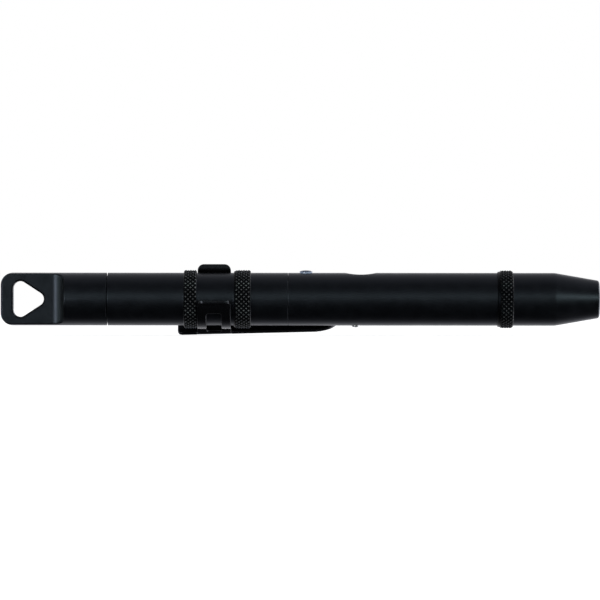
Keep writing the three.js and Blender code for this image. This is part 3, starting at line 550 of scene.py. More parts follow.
def front_barrel():
    """The barrel with the dish, the button's and lamp's holes and a spigot at each end."""
    front_start = REAR_END + MID_SEAM
    front_end = NOSE_START - NOSE_SEAM
    groove = oring_groove("neck_oring")
    outline = Outline()
    outline.add(rounded([(FRONT_SPIGOT, CHAMBER_R, 0), (FRONT_SPIGOT, PLAIN_R, 0.1),
            (front_start, PLAIN_R, 0.05), (front_start, BODY_R, 0.12),
            (BUTTON_X - DISH_HALF, BODY_R, 0)]))
    outline.add(runs(BUTTON_X - DISH_HALF, BUTTON_X + DISH_HALF, BODY_R, DISH_STEP), "dish")
    outline.add(rounded([(BUTTON_X + DISH_HALF, BODY_R, 0), (front_end, BODY_R, 0.06)]
            + grooved_land(front_end, groove)))
    threaded_tip(outline, groove, NECK_END, [
        (NECK_END, NECK_BORE_R, 0.1), (front_end, NECK_BORE_R, 0.1),
        (front_end, CHAMBER_R, 0.1), (FRONT_SPIGOT, CHAMBER_R, 0)])
    barrel = revolve("front_barrel_turned", outline.points, "main", "anodised_black",
            ["front_barrel"], shape=outline.shaper({"dish": dished, "male": male_thread}))
    dish_floor = BODY_R - DISH_DEPTH
    cut_away(barrel,
            round_cutter(BUTTON_X, [(3, BUTTON_HOLE_R), (dish_floor - BUTTON_CHAMFER, BUTTON_HOLE_R),
            (dish_floor + 1, BUTTON_HOLE_R + BUTTON_CHAMFER + 1)]),
            round_cutter(LAMP_X, [(3, LAMP_HOLE_R), (BODY_R - 0.28, LAMP_HOLE_R),
            (BODY_R + 1, LAMP_HOLE_R + 0.9)]),
            round_cutter(STUD_X, [(-BODY_R - 1, STUD_HOLE_R + 1), (0.08 - BODY_R, STUD_HOLE_R),
            (-3, STUD_HOLE_R)], 48))
    crease(barrel)
    return barrel


# ---- nose

CONE_LENGTH = 11.1
CONE_END_R = 4.67
NOSE_BORE_R = 5.2
APERTURE_R = 3.15
LIP = 0.65
LENS_SEAT_R = 3.5
LENS_SEAT_DEPTH = 3.1
NOSE_BORE_LENGTH = 13.35
COLLAR_LENGTH = 0.65
COLLAR_RISE = 0.25
LENS_R = 3.4
LENS_FACE_R = 3.0
LENS_STEP = 0.6


def nose_head():
    """The head: a thin collar, a knurled ring, a cylinder and a cone with an open end."""
    ring_end = NOSE_START + NOSE_RING_WIDTH
    bore_end = NOSE_START + NOSE_BORE_LENGTH
    thread_end = NECK_END + 0.2
    outline = Outline()
    outline.add([(NOSE_START, MOUTH_R + MOUTH_FLARE), (NOSE_START, MOUTH_R + 0.2)])
    knurl_from = NOSE_START + COLLAR_LENGTH
    collar = BODY_R + COLLAR_RISE
    outline.add(rounded([(NOSE_START, MOUTH_R + 0.2, 0), (NOSE_START, collar, 0.1),
            (NOSE_START + 0.6, collar + 0.15, 0.05), (knurl_from, collar + 0.1, 0)]))
    step = TURN * NOSE_RING_R / KNURL_COUNT / KNURL_ROWS
    for k in range(math.ceil(knurl_from / step), math.floor((ring_end - 0.02) / step) + 1):
        rise = min(1.0, (k * step - knurl_from) / 0.25, (ring_end - k * step) / 0.7)
        lift = (NOSE_RING_R - collar) * math.sin(rise * math.pi / 2)
        outline.add([(k * step, collar + lift)], "knurl")
    outline.add(rounded([(ring_end - 0.01, collar + 0.01, 0), (ring_end, collar, 0.05),
            (ring_end, BODY_R, 0.06), (ring_end + 1, BODY_R, 0)]))
    outline.add(rounded([(ring_end + 1, BODY_R, 0), (NOSE_END - CONE_LENGTH, BODY_R, 5.0),
            (NOSE_END, CONE_END_R, 0.6), (NOSE_END, APERTURE_R, 0.12),
            (NOSE_END - LIP, APERTURE_R, 0.05), (NOSE_END - LIP, LENS_SEAT_R, 0.05),
            (NOSE_END - LENS_SEAT_DEPTH, LENS_SEAT_R, 0.4),
            (bore_end, NOSE_BORE_R, 0.4), (thread_end, NOSE_BORE_R, 0.1),
            (thread_end, BORE_R, 0)], steps=8)[1:])
    threaded_mouth(outline, thread_end, NOSE_START, NOSE_START)
    shape = outline.shaper({"knurl": knurl, "female": female_thread})
    return revolve("nose_head_turned", outline.points, "nose", "anodised_black", ["nose_head"],
            shape=shape)


def nose_lens():
    low, high = span("nose_lens")
    outline = rounded([(low, 0, 0), (low, LENS_R, 0.08), (high - LENS_STEP, LENS_R, 0.08),
            (high - LENS_STEP, LENS_FACE_R, 0.05), (high, LENS_FACE_R, 0.15),
            (high, 0, 0)])
    return revolve("nose_lens_ground", outline, "nose", "clear_violet", ["nose_lens"], segments=96)


# ---- clip

CLIP_SHEET = 0.8
CLIP_VOXEL = 0.12
CLIP_SLOPE = 0.036
CLIP_OVERHANG = 5.05
CLIP_BAND = 8.35
CLIP_LEG = 2.3
CLIP_HALF_WIDTH = 3.5
CLIP_TIP = 5.9
CLIP_CORNER = 1.6
CLIP_REAR_CORNER = 1.2
CLIP_BACK_U = RING_R + 0.9 + CLIP_SHEET / 2
CLIP_BEND_R = 0.5
CLIP_BULGE = 0.45
CLIP_BLEND = 0.8
CLIP_FOOT_R = 0.7
CLIP_WRAP_R = BODY_R + 0.05 + CLIP_SHEET / 2
CLIP_WING = math.radians(123)
CLIP_FLARE = math.radians(80)
CLIP_FLARE_R = 0.9
CLIP_LIP = 0.95
CLIP_WINDOW = (math.radians(38), math.radians(106))
CLIP_DIRECTION = math.radians(-45)


def clip_stretches():
    """The bent sheet's centre line from the middle of the strip: (length, radius or 0)."""
    corner = CLIP_HALF_WIDTH + CLIP_BULGE - CLIP_SHEET / 2
    foot = math.asin((corner + CLIP_FOOT_R) / (CLIP_WRAP_R + CLIP_FOOT_R))
    drop = CLIP_BACK_U - CLIP_BEND_R - (CLIP_WRAP_R + CLIP_FOOT_R) * math.cos(foot)
    return foot, [(corner - CLIP_BEND_R, 0), (CLIP_BEND_R * math.pi / 2, CLIP_BEND_R), (drop, 0),
            (CLIP_FOOT_R * (math.pi / 2 - foot), -CLIP_FOOT_R),
            (CLIP_WRAP_R * (CLIP_WING - foot), CLIP_WRAP_R),
            (CLIP_FLARE_R * CLIP_FLARE, -CLIP_FLARE_R), (CLIP_LIP, 0)]


def clip_line():
    """Tables of (length along the sheet, u, v, heading) for bending the flat blank."""
    _, stretches = clip_stretches()
    s, u, v, heading = [0.0], [CLIP_BACK_U], [0.0], [math.pi / 2]
    for length, radius in stretches:
        count = max(4, math.ceil(length / 0.02))
        step = length / count
        for _ in range(count):
            turn = step / radius if radius else 0.0
            middle = heading[-1] + turn / 2
            s.append(s[-1] + step)
            u.append(u[-1] + step * math.cos(middle))
            v.append(v[-1] + step * math.sin(middle))
            heading.append(heading[-1] + turn)
    return np.array(s), np.array(u), np.array(v), np.array(heading)


def slab(points, thickness):
    """A flat closed slab from an outline of (x, s)."""
    return loft("slab", [[(x, s, n) for x, s in points] for n in (-thickness / 2, thickness / 2)])


def rounded_box(x0, x1, s0, s1, radius):
    """An outline of a box in (x, s) with rounded corners."""
    steps = 8
    points = []
    for cx, cs, start in ((x1 - radius, s1 - radius, 0), (x0 + radius, s1 - radius, 1),
            (x0 + radius, s0 + radius, 2), (x1 - radius, s0 + radius, 3)):
        for k in range(steps + 1):
            a = (start + k / steps) * math.pi / 2
            points.append((cx + radius * math.cos(a), cs + radius * math.sin(a)))
    return points


def strip_outline():
    """The flat strip, rounded to a half ellipse at its free end."""
    w, x0 = CLIP_HALF_WIDTH, CLIP_START
    straight = CLIP_END - CLIP_TIP
    tip = [(straight + CLIP_TIP * math.cos(a), w * math.sin(a))
           for a in np.linspace(-math.pi / 2, math.pi / 2, 49)]
    rear = rounded_box(x0, x0 + 10, -w, w, CLIP_REAR_CORNER)
    return tip + [p for p in rear if p[0] < x0 + 5]


def eased(t):
    """Smooth start and stop for a share from 0 to 1."""
    return t * t * (3 - 2 * t)


def flat_clip(band_0, band_1, lengths, foot, reach):
    """The sheet before bending: its vertices as (x, length across, lift) and its faces."""
    blank = slab(strip_outline(), CLIP_SHEET)
    wings = slab(rounded_box(band_0, band_1, -reach, reach, CLIP_CORNER), CLIP_SHEET)
    window_end = lengths[3] + CLIP_WRAP_R * (CLIP_WINDOW[1] - foot)
    window_start = lengths[1] + 0.2
    for side in (1, -1):
        near, far = sorted((side * window_start, side * window_end))
        cut_away(wings, slab(rounded_box(band_0 + CLIP_LEG, band_1 - CLIP_LEG, near, far, 0.6),
                3 * CLIP_SHEET))
    bm = bmesh.new()
    bm.from_mesh(blank.data)
    bm.from_mesh(wings.data)
    bm.to_mesh(blank.data)
    bm.free()
    bpy.data.objects.remove(wings)
    remesh = blank.modifiers.new("remesh", "REMESH")
    remesh.mode = "VOXEL"
    remesh.voxel_size = CLIP_VOXEL * MM
    soften = blank.modifiers.new("soften", "SMOOTH")
    soften.iterations = 2
    graph = bpy.context.evaluated_depsgraph_get()
    mesh = bpy.data.meshes.new_from_object(blank.evaluated_get(graph))
    count = len(mesh.vertices)
    flat = np.empty(count * 3)
    mesh.vertices.foreach_get("co", flat)
    flat = flat.reshape(-1, 3) / MM
    faces = [list(p.vertices) for p in mesh.polygons]
    bpy.data.objects.remove(blank)
    return flat, faces


def pocket_clip():
    """The clip's flat sheet bent round the barrel, with its strip sloping to the tip."""
    s, u, v, heading = clip_line()
    foot, stretches = clip_stretches()
    lengths = np.cumsum([length for length, _ in stretches])
    band_0 = CLIP_START + CLIP_OVERHANG
    band_1 = band_0 + CLIP_BAND
    flat, faces = flat_clip(band_0, band_1, lengths, foot, s[-1])
    x, along, lift = flat[:, 0], np.abs(flat[:, 1]), flat[:, 2]
    side = np.sign(flat[:, 1])
    uu, vv, hh = (np.interp(along, s, table) for table in (u, v, heading))
    hold = eased(np.clip((lengths[3] - along) / (lengths[3] - lengths[0]), 0, 1))
    middle = (band_0 + band_1) / 2
    outside = np.maximum(band_0 - x, x - band_1)
    bend = eased(np.clip((outside - CLIP_BLEND) / -CLIP_BLEND, 0, 1))
    uu = CLIP_BACK_U + (uu - CLIP_BACK_U) * bend
    vv = along + (vv - along) * bend
    hh = math.pi / 2 + (hh - math.pi / 2) * bend
    uu = uu + lift * np.sin(hh) - CLIP_SLOPE * (x - middle) * hold
    vv = side * (vv - lift * np.cos(hh))
    c, d = math.cos(CLIP_DIRECTION), math.sin(CLIP_DIRECTION)
    bent = np.stack([x, uu * c - vv * d, uu * d + vv * c], axis=-1)
    return make_object("pocket_clip_bent", bent, faces, "clip", "clip_black", ["pocket_clip"],
            sharp=60)


# ---- small pieces

def upright(name, x, outline, body, slot, nodes, segments=96):
    """Turns an outline of (z, r) about a vertical line at station x."""
    piece = revolve(name, outline, body, slot, nodes, segments)
    for vertex in piece.data.vertices:
        z, across, along = vertex.co
        vertex.co = (x * MM + along, across, z)
    crease(piece)
    return piece


def heights(node):
    low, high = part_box(node)
    return low[2] / MM, high[2] / MM


def button_cap():
    """A moulded rubber thumb button: a shallow crown ringed by a groove."""
    low, high = heights("button_cap")
    r, flange = BUTTON_HOLE_R - 0.05, radius_of("button_cap")
    outline = rounded([(low, 0, 0), (low, flange, 0.06), (low + 0.4, flange, 0.06),
            (low + 0.4, r, 0.03), (high - 0.02, r, 0.14), (high - 0.02, r - 0.3, 0.06),
            (high - 0.09, r - 0.42, 0.06), (high - 0.02, r - 0.56, 0.06),
            (high, 0, 0)])
    return upright("button_cap_moulded", BUTTON_X, outline, "button", "black_rubber",
            ["button_cap"])


def indicator_lens():
    """A clear blue dome that shows the lamp's charge light."""
    low, high = heights("indicator_lens")
    r = radius_of("indicator_lens")
    skirt = BODY_R + 0.25
    rise = high - skirt
    arc = [(skirt + rise * math.sin(t), r * math.cos(t)) for t in np.linspace(0, math.pi / 2, 20)]
    outline = rounded([(low, 0, 0), (low, r, 0.08), (skirt - 0.02, r, 0)]) + arc
    outline[-1] = (high, 0)
    return upright("indicator_lens_moulded", LAMP_X, outline, "main", "clear_blue",
            ["indicator_lens"], 128)


def carrier_stud():
    """The domed metal pin that holds the inner carrier, proud of the barrel's underside."""
    low, high = heights("carrier_stud")
    r = radius_of("carrier_stud")
    dome = [(low + 0.34 * (1 - math.sin(t)), r * math.cos(t) if t < 1.57 else 0)
            for t in np.linspace(math.pi / 2, 0, 14)]
    outline = dome + rounded([(low + 0.34, r, 0), (high, r, 0.1), (high, 0, 0)])[1:]
    return upright("carrier_stud_turned", STUD_X, outline, "main", "spring_steel",
            ["carrier_stud"])


def ring_of_round_section(node, body):
    """A rubber ring of round section in place of a node's box."""
    start, end = span(node)
    outer = radius_of(node)
    half = (end - start) / 2
    inner = outer - 2 * half
    points = [((start + end) / 2 + half * math.cos(t), (outer + inner) / 2 + half * math.sin(t))
            for t in np.linspace(0, TURN, 25)]
    points[-1] = points[0]
    return revolve(node + "_moulded", points, body, "black_rubber", [node], segments=160)


def reflector():
    """A bright cup that swells behind the lens and narrows to its mouth."""
    start, end = span("reflector")
    outer, mouth_outer = radius_of("reflector"), LENS_SEAT_R - 0.1
    wide, mouth = outer - 0.6, mouth_outer - 0.6
    step = NOSE_START + NOSE_BORE_LENGTH
    seat = NOSE_END - LENS_SEAT_DEPTH
    outline = rounded([(start, 2.9, 0), (start, outer, 0.1), (step, outer, 0.6),
            (seat, mouth_outer, 0.6), (end, mouth_outer, 0.05), (end, mouth, 0.05),
            (seat, mouth, 4.0), (step, wide, 5.0), (start, 2.9, 0)], steps=10)
    return revolve("reflector_pressed", outline, "reflector_set", "bare_aluminium",
            ["reflector"], segments=192)


def led_dome():
    """The lamp's clear moulded lens."""
    start, end = span("led_dome")
    r = radius_of("led_dome")
    arc = [(start + (end - start) * math.sin(t), r * math.cos(t))
           for t in np.linspace(0, math.pi / 2, 20)]
    arc[-1] = (end, 0)
    return revolve("led_dome_moulded", [(start, 0)] + arc, "main", "clear_violet",
            ["led_dome"], segments=96)


def battery_cell():
    """A wrapped cell with a rolled shoulder at each end."""
    start, end = span("battery_cell")
    r = radius_of("battery_cell")
    outline = rounded([(start, 0, 0), (start, r - 0.9, 0.1), (start + 0.15, r - 0.8, 0.05),
            (start + 0.1, r, 0.5), (end - 0.1, r, 0.5), (end - 0.1, r - 0.6, 0.1),
            (end - 0.3, r - 0.8, 0.1), (end - 0.3, 2.4, 0.1), (end, 2.1, 0.15),
            (end, 0, 0)], steps=6)
    return revolve("battery_cell_wrapped", outline, "main", "cell_skin", ["battery_cell"],
            segments=160)


def sweep(name, path, radius, body, slot, nodes):
    """A round wire along a path of millimetre points, a little thinner at its ends."""
    sides = 16
    path = np.asarray(path, dtype=float)
    tangent = np.gradient(path, axis=0)
    tangent /= np.linalg.norm(tangent, axis=1)[:, None]
    normal = np.cross(tangent[0], [0, 0, 1.0])
    if np.linalg.norm(normal) < 0.1:
        normal = np.cross(tangent[0], [0, 1.0, 0])
    angles = np.arange(sides) * TURN / sides
    last = len(path) - 1
    rings = []
    for k, (centre, t) in enumerate(zip(path, tangent)):
        normal = normal - t * (normal @ t)
        normal /= np.linalg.norm(normal)
        reach = radius * (0.8 if k in (0, last) else 1.0)
        rings.append(centre + reach * (np.outer(np.cos(angles), normal)
                + np.outer(np.sin(angles), np.cross(t, normal))))
    return make_object(name, np.concatenate(rings), tube_faces(sides, len(path)), body, slot,
            nodes, sharp=60)


def tail_spring():
    """A compression spring of even radius whose end turns are wound close."""
    start, end = span("tail_spring")
    wire, turns, closed, close_pitch = 0.4, 6.5, 1.0, 0.82
    coil_r = radius_of("tail_spring") - wire
    free_length = end - start - 2 * wire - 2 * closed * close_pitch
    path = []
    for t in np.linspace(0, 1, 420):
        turn = turns * t
        last = min(max(turn - turns + closed, 0), closed)
        lead = min(turn, closed) * close_pitch + last * close_pitch
        free = max(0.0, min(turn, turns - closed) - closed)
        x = start + wire + lead + free / (turns - 2 * closed) * free_length
        a = TURN * turn
        path.append((x, coil_r * math.sin(a), coil_r * math.cos(a)))
    return sweep("tail_spring_coiled", path, wire, "tail_set", "spring_steel", ["tail_spring"])


# ---- materials

def add_node(tree, kind, links=None, **settings):
    """Adds a shader node with its settings, and links or sets its inputs."""
    node = tree.nodes.new(kind)
    for key, value in settings.items():
        setattr(node, key, value)
    for key, value in (links or {}).items():
        if isinstance(value, bpy.types.NodeSocket):
            tree.links.new(value, node.inputs[key])
        else:
            node.inputs[key].default_value = value
    return node


TURNING = (1, 60, 60)


class Look:
    """A procedural material built around one Principled shader."""

    def __init__(self, name, **values):
        self.material = bpy.data.materials.new(name)
        self.material.use_nodes = True
        self.tree = self.material.node_tree
        self.shader = self.tree.nodes["Principled BSDF"]
        for key, value in values.items():
            self.shader.inputs[key.replace("_", " ")].default_value = value
        self.place = self.add("ShaderNodeTexCoord").outputs["Object"]

    def add(self, kind, links=None, **settings):
        return add_node(self.tree, kind, links, **settings)

    def noise(self, size, detail=2.0, stretch=(1, 1, 1), rough=0.5):
        """Soft noise from 0 to 1 whose grains are about size millimetres across."""
        scaled = self.add("ShaderNodeMapping", {"Vector": self.place, "Scale": [
            1 / (s * size * MM) for s in stretch]})
        return self.add("ShaderNodeTexNoise", {"Vector": scaled.outputs[0], "Scale": 1.0,
                "Detail": detail, "Roughness": rough}).outputs[0]

    def math(self, operation, a, b=0.0):
        return self.add("ShaderNodeMath", {0: a, 1: b}, operation=operation).outputs[0]

    def spread(self, value, low, high, start=0.3, end=0.7):
        """Maps a value from the range start..end to low..high, held at both ends."""
        return self.add("ShaderNodeMapRange", {0: value, 1: start, 2: end, 3: low,
                4: high}).outputs[0]

    def blend(self, factor, a, b):
        """Mixes two colours."""
        a, b = ((*value, 1) if isinstance(value, tuple) else value for value in (a, b))
        return self.add("ShaderNodeMix", {0: factor, 6: a, 7: b}, data_type="RGBA").outputs[2]

    def axis_distance(self):
        """Distance from the pen's axis in millimetres."""
        split = self.add("ShaderNodeSeparateXYZ", {0: self.place}).outputs
        square = self.math("ADD", self.math("POWER", split[1], 2.0),
                self.math("POWER", split[2], 2.0))
        return self.math("MULTIPLY", self.math("SQRT", square), 1 / MM)

    def position(self, axis):
        """Place in millimetres along the pen (axis 0) or up from its own axis (axis 2)."""
        split = self.add("ShaderNodeSeparateXYZ", {0: self.place}).outputs
        return self.math("MULTIPLY", split[axis], 1 / MM)

    def set(self, key, value):
        self.tree.links.new(value, self.shader.inputs[key])

    def bump(self, *layers):
        """Stacks bumps: each layer is (height from 0 to 1, depth in millimetres)."""
        normal = None
        for value, depth in layers:
            links = {"Height": value, "Distance": depth * MM, "Strength": 1.0}
            if normal is not None:
                links["Normal"] = normal
            normal = self.add("ShaderNodeBump", links).outputs[0]
        self.set("Normal", normal)


def colour(look, base, other, size, **noise):
    """A base colour that drifts between two close shades in patches of this size."""
    look.set("Base Color", look.blend(look.spread(look.noise(size, **noise), 0, 1), base, other))


def anodised_black():
    """Satin black anodising over a bead-blasted, turned aluminium body, with painted shade in the
    knurls' grooves.
    """
    look = Look("anodised_black", Metallic=0.0, IOR=1.5, Specular_IOR_Level=0.62,
            Specular_Tint=(0.68, 0.76, 1.0, 1))
    grain = look.noise(0.09, 2)
    patch = look.noise(2.5, 3)
    turning = look.noise(0.25, 2, stretch=TURNING)
    ring = look.spread(look.axis_distance(), 0, 1, RING_R - 0.4, RING_R - 0.05)
    peak = look.spread(look.axis_distance(), 0, 1, RING_R - 0.17, RING_R - 0.05)
    worn = look.math("MULTIPLY", peak, look.spread(grain, 0.5, 1, 0.35, 0.6))
    # Painted shade: the specular tint is darkened in the knurls' grooves, below the peaks, where shade
    # falls.
    low = look.spread(look.axis_distance(), 0, 1, BODY_R + 0.08, BODY_R + 0.16)
    painted_groove_shade = look.math("MULTIPLY", low, look.math("SUBTRACT", 1.0, peak))
    look.set("Specular Tint", look.blend(painted_groove_shade, (0.68, 0.78, 1.0), (0.05, 0.06, 0.08)))
    skin = look.blend(look.spread(patch, 0, 1), (0.002, 0.0021, 0.0028), (0.0034, 0.0035, 0.0045))
    look.set("Base Color", look.blend(worn, skin, (0.16, 0.165, 0.17)))
    look.set("Metallic", worn)
    rough = look.spread(patch, 0.30, 0.36)
    rough = look.math("ADD", rough, look.spread(grain, -0.02, 0.03))
    look.set("Roughness", look.math("SUBTRACT", rough, look.math("MULTIPLY", ring, 0.08)))
    look.bump((grain, 0.0035), (turning, 0.0012))
    return look.material


def clip_black():
    """Semi-gloss black coating over rolled spring sheet."""
    look = Look("clip_black", Metallic=0.0, IOR=1.5, Coat_Weight=0.15, Coat_Roughness=0.12,
            Specular_Tint=(0.75, 0.8, 1.0, 1))
    grain, patch = look.noise(0.12, 2), look.noise(3.0, 3)
    colour(look, (0.0016, 0.0016, 0.002), (0.0028, 0.0028, 0.0034), 1.6, detail=3)
    rough = look.spread(patch, 0.22, 0.28)
    look.set("Roughness", look.math("ADD", rough, look.spread(grain, -0.02, 0.03)))
    look.bump((grain, 0.002), (look.noise(0.3, 2, stretch=(8, 1, 1)), 0.0015))
    return look.material


def black_rubber():
    look = Look("black_rubber", IOR=1.45)
    grain = look.noise(0.15, 3)
    colour(look, (0.006, 0.006, 0.007), (0.013, 0.013, 0.014), 0.6, detail=3)
    look.set("Roughness", look.spread(grain, 0.5, 0.68))
    look.bump((grain, 0.008))
    return look.material


def metal(name, base, other, rough):
    """Bare metal with fine machining lines and patches of tarnish."""
    look = Look(name, Metallic=1.0)
    colour(look, base, other, 0.9, detail=3)
    marks = look.noise(0.12, 2, stretch=TURNING)
    look.set("Roughness", look.math("ADD", look.spread(look.noise(1.2, 3), rough, rough + 0.1),
            look.spread(marks, -0.03, 0.05)))
    look.bump((marks, 0.0015))
    return look.material


def plastic(name, base, other, rough):
    """Moulded plastic or solder mask with a fine sparked texture."""
    look = Look(name, IOR=1.5)
    colour(look, base, other, 0.8, detail=3)
    fine = look.noise(0.1, 2)
    look.set("Roughness", look.spread(fine, rough, rough + 0.12))
    look.bump((fine, 0.003))
    return look.material


def board(name, base, other, rough):
    """A circuit board's solder mask, with copper tracks standing under it."""
    look = Look(name, IOR=1.5)
    scaled = look.add("ShaderNodeMapping", {"Vector": look.place, "Scale": [900, 900, 900]})
    tracks = look.add("ShaderNodeTexBrick", {"Vector": scaled.outputs[0], "Scale": 1.0,
            "Mortar Size": 0.16, "Brick Width": 3.0,
            "Row Height": 0.9})
    mark = look.spread(tracks.outputs["Fac"], 0, 1, 0, 1)
    cloudy = look.blend(look.spread(look.noise(0.8, 3), 0, 1), base, other)
    look.set("Base Color", look.blend(mark, cloudy, tuple(min(1, 1.5 * c + 0.01) for c in base)))
    look.set("Roughness", look.spread(look.noise(0.1, 2), rough, rough + 0.1))
    look.bump((mark, 0.03), (look.noise(0.1, 2), 0.002))
    return look.material


def cell_skin():
    """A printed cell wrap left plain: a blue body with a darker shoulder at one end."""
    look = Look("cell_skin", IOR=1.5, Coat_Weight=0.4, Coat_Roughness=0.1)
    end = span("battery_cell")[1]
    band = look.spread(look.position(0), 0, 1, end - 9.05, end - 8.95)
    wrap = look.blend(look.spread(look.noise(1.5, 3), 0, 1), (0.09, 0.27, 0.46), (0.12, 0.31, 0.5))
    wrap = look.blend(band, wrap, (0.02, 0.03, 0.05))
    radius = look.axis_distance()
    bare = look.spread(radius, 1, 0, CHAMBER_R - 1.0, CHAMBER_R - 0.9)
    look.set("Base Color", look.blend(bare, wrap, (0.6, 0.6, 0.6)))
    look.set("Metallic", bare)
    look.set("Roughness", look.spread(look.noise(0.2, 3), 0.25, 0.38))
    look.bump((look.noise(0.4, 3), 0.004))
    return look.material


def nose_glass():
    """The violet-tinted front glass, faintly frosted where it was ground."""
    look = Look("clear_violet", IOR=1.5, Transmission_Weight=0.85)
    colour(look, (0.52, 0.44, 0.85), (0.6, 0.5, 0.9), 0.7, detail=3)
    look.set("Roughness", look.spread(look.noise(0.25, 3), 0.02, 0.07))
    look.bump((look.noise(0.5, 2), 0.001))
    return look.material


def lamp_blue():
    """Blue lens plastic with painted light and shade: a pale foot where light shows through, a deep navy
    crown in shade.
    """
    look = Look("clear_blue", IOR=1.5, Transmission_Weight=0.15)
    # Painted light and shade: the base colour runs from pale at the foot to navy at the crown by height.
    rise = look.spread(look.position(2), 0, 1, BODY_R + 0.22, BODY_R + 0.36)
    cloudy = look.spread(look.noise(0.5, 3), -0.2, 0.2)
    factor = look.math("ADD", rise, look.math("MULTIPLY", cloudy, look.math("SUBTRACT", 1.0, rise)))
    look.set("Base Color", look.blend(factor, (0.42, 0.5, 0.72), (0.008, 0.012, 0.05)))
    look.set("Roughness", look.spread(look.noise(0.2, 3), 0.06, 0.12))
    look.bump((look.noise(0.6, 2), 0.003))
    return look.material


LOOKS = {
    "anodised_black": anodised_black(),
    "clip_black": clip_black(),
    "black_rubber": black_rubber(),
    "spring_steel": metal("spring_steel", (0.56, 0.57, 0.6), (0.66, 0.67, 0.69), 0.2),
    "brass": metal("brass", (0.72, 0.53, 0.2), (0.82, 0.64, 0.3), 0.25),
    "cell_skin": cell_skin(),
    "board_green": board("board_green", (0.01, 0.13, 0.05), (0.015, 0.17, 0.07), 0.3),
    "board_white": board("board_white", (0.72, 0.73, 0.74), (0.8, 0.81, 0.82), 0.35),
    "chip_black": plastic("chip_black", (0.012, 0.012, 0.013), (0.02, 0.02, 0.022), 0.5),
    "capacitor_tan": plastic("capacitor_tan", (0.42, 0.29, 0.15), (0.5, 0.36, 0.2), 0.4),
    "grey_plastic": plastic("grey_plastic", (0.2, 0.21, 0.22), (0.26, 0.27, 0.28), 0.45),
    "bare_aluminium": metal("bare_aluminium", (0.74, 0.75, 0.77), (0.82, 0.83, 0.84), 0.22),
    "led_white": plastic("led_white", (0.75, 0.75, 0.7), (0.82, 0.82, 0.76), 0.4),
    "clear_violet": nose_glass(),
    "clear_blue": lamp_blue(),
    "wire_red": plastic("wire_red", (0.5, 0.03, 0.02), (0.6, 0.05, 0.03), 0.4),
    "wire_black": plastic("wire_black", (0.012, 0.012, 0.013), (0.02, 0.02, 0.02), 0.4),
}


def dress(obj, slot):
    obj.data.materials.clear()
    obj.data.materials.append(LOOKS[slot])


# ---- the pen

NEW_PIECES = [tail_cap(), rear_barrel(), front_barrel(), nose_head(), nose_lens(), pocket_clip(),
        button_cap(), indicator_lens(), carrier_stud(), reflector(), led_dome(),
        battery_cell(), tail_spring(),
        ring_of_round_section("tail_oring", "tail_set"),
        ring_of_round_section("neck_oring", "main")]
for piece in NEW_PIECES:
    dress(piece, piece["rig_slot"])
for part in frame["record"]["subparts"]:
    dress(frame["nodes"][part["node"]], part["material_slot"])


# ---- floor, light and camera

FLOOR_Z = cad_box[0][2]
FLOOR_REACH = 3.0


def floor():
    """A wide pale sweep under the pen, kept out of the pen's own light."""
    side = np.linspace(-FLOOR_REACH, FLOOR_REACH, 9)
    vertices = [(x, y, FLOOR_Z) for y in side for x in side]
    count = len(side)
    faces = [(j * count + i, j * count + i + 1, (j + 1) * count + i + 1, (j + 1) * count + i)
            for j in range(count - 1) for i in range(count - 1)]
    mesh = bpy.data.meshes.new("floor")
    mesh.from_pydata(vertices, [], faces)
    sheet = bpy.data.objects.new("floor", mesh)
    bpy.context.scene.collection.objects.link(sheet)
    look = Look("pale_floor", Emission_Strength=0.72)
    colour(look, (0.78, 0.78, 0.79), (0.8, 0.8, 0.81), 60, detail=2)
    look.shader.inputs["Emission Color"].default_value = (1, 1, 1, 1)
    look.set("Roughness", look.spread(look.noise(5, 2), 0.8, 0.9))
    mesh.materials.append(look.material)
    sheet.visible_glossy = False
    sheet.visible_diffuse = False
    sheet.visible_transmission = False
    sheet.visible_shadow = False


# Brightness of the surroundings against the angle in degrees from the side the pen is
# seen from, over the top and under the bottom.
LIGHT_ABOVE = [(0, 0.07), (14, 0.11), (31, 0.115), (50, 0.075), (62, 0.075), (70, 0.1),
        (86, 0.2), (106, 0.25), (123, 0.33), (144, 0.4), (155, 0.7), (165, 1.0), (180, 1.0)]
LIGHT_BELOW = [(0, 0.07), (10, 0.03), (22, 0.02), (60, 0.012), (79, 0.012), (91, 0.024),
        (104, 0.06), (119, 0.24), (140, 0.6), (155, 0.85), (165, 1.0), (180, 1.0)]
SOFTBOX_ANGLE = 13
SOFTBOX_WIDTH = 9
SOFTBOX_POWER = 0.18
SOFTBOX_TINT = (0.9, 1.06, 0.92, 1)
SOFTBOX_ENDS = (0.15, 0.36, 13.5)
NOSEWARD_GLOW = 2.0
NOSEWARD_RISE = (0.0, 0.52, 0.75, 1.0)
NOSEWARD_BEHIND = (0.0, -0.5, 0.1, 1.0)
TAILWARD_GLOW = 4.4
TAILWARD_RISE = (0.0, 0.26, 0.48, 1.0)
TAILWARD_FALL = (1.0, 0.5, 0.78, 0.0)
TAILWARD_SPREAD = 14.0
ROOM_TINT = (0.98, 0.98, 1.02, 1)


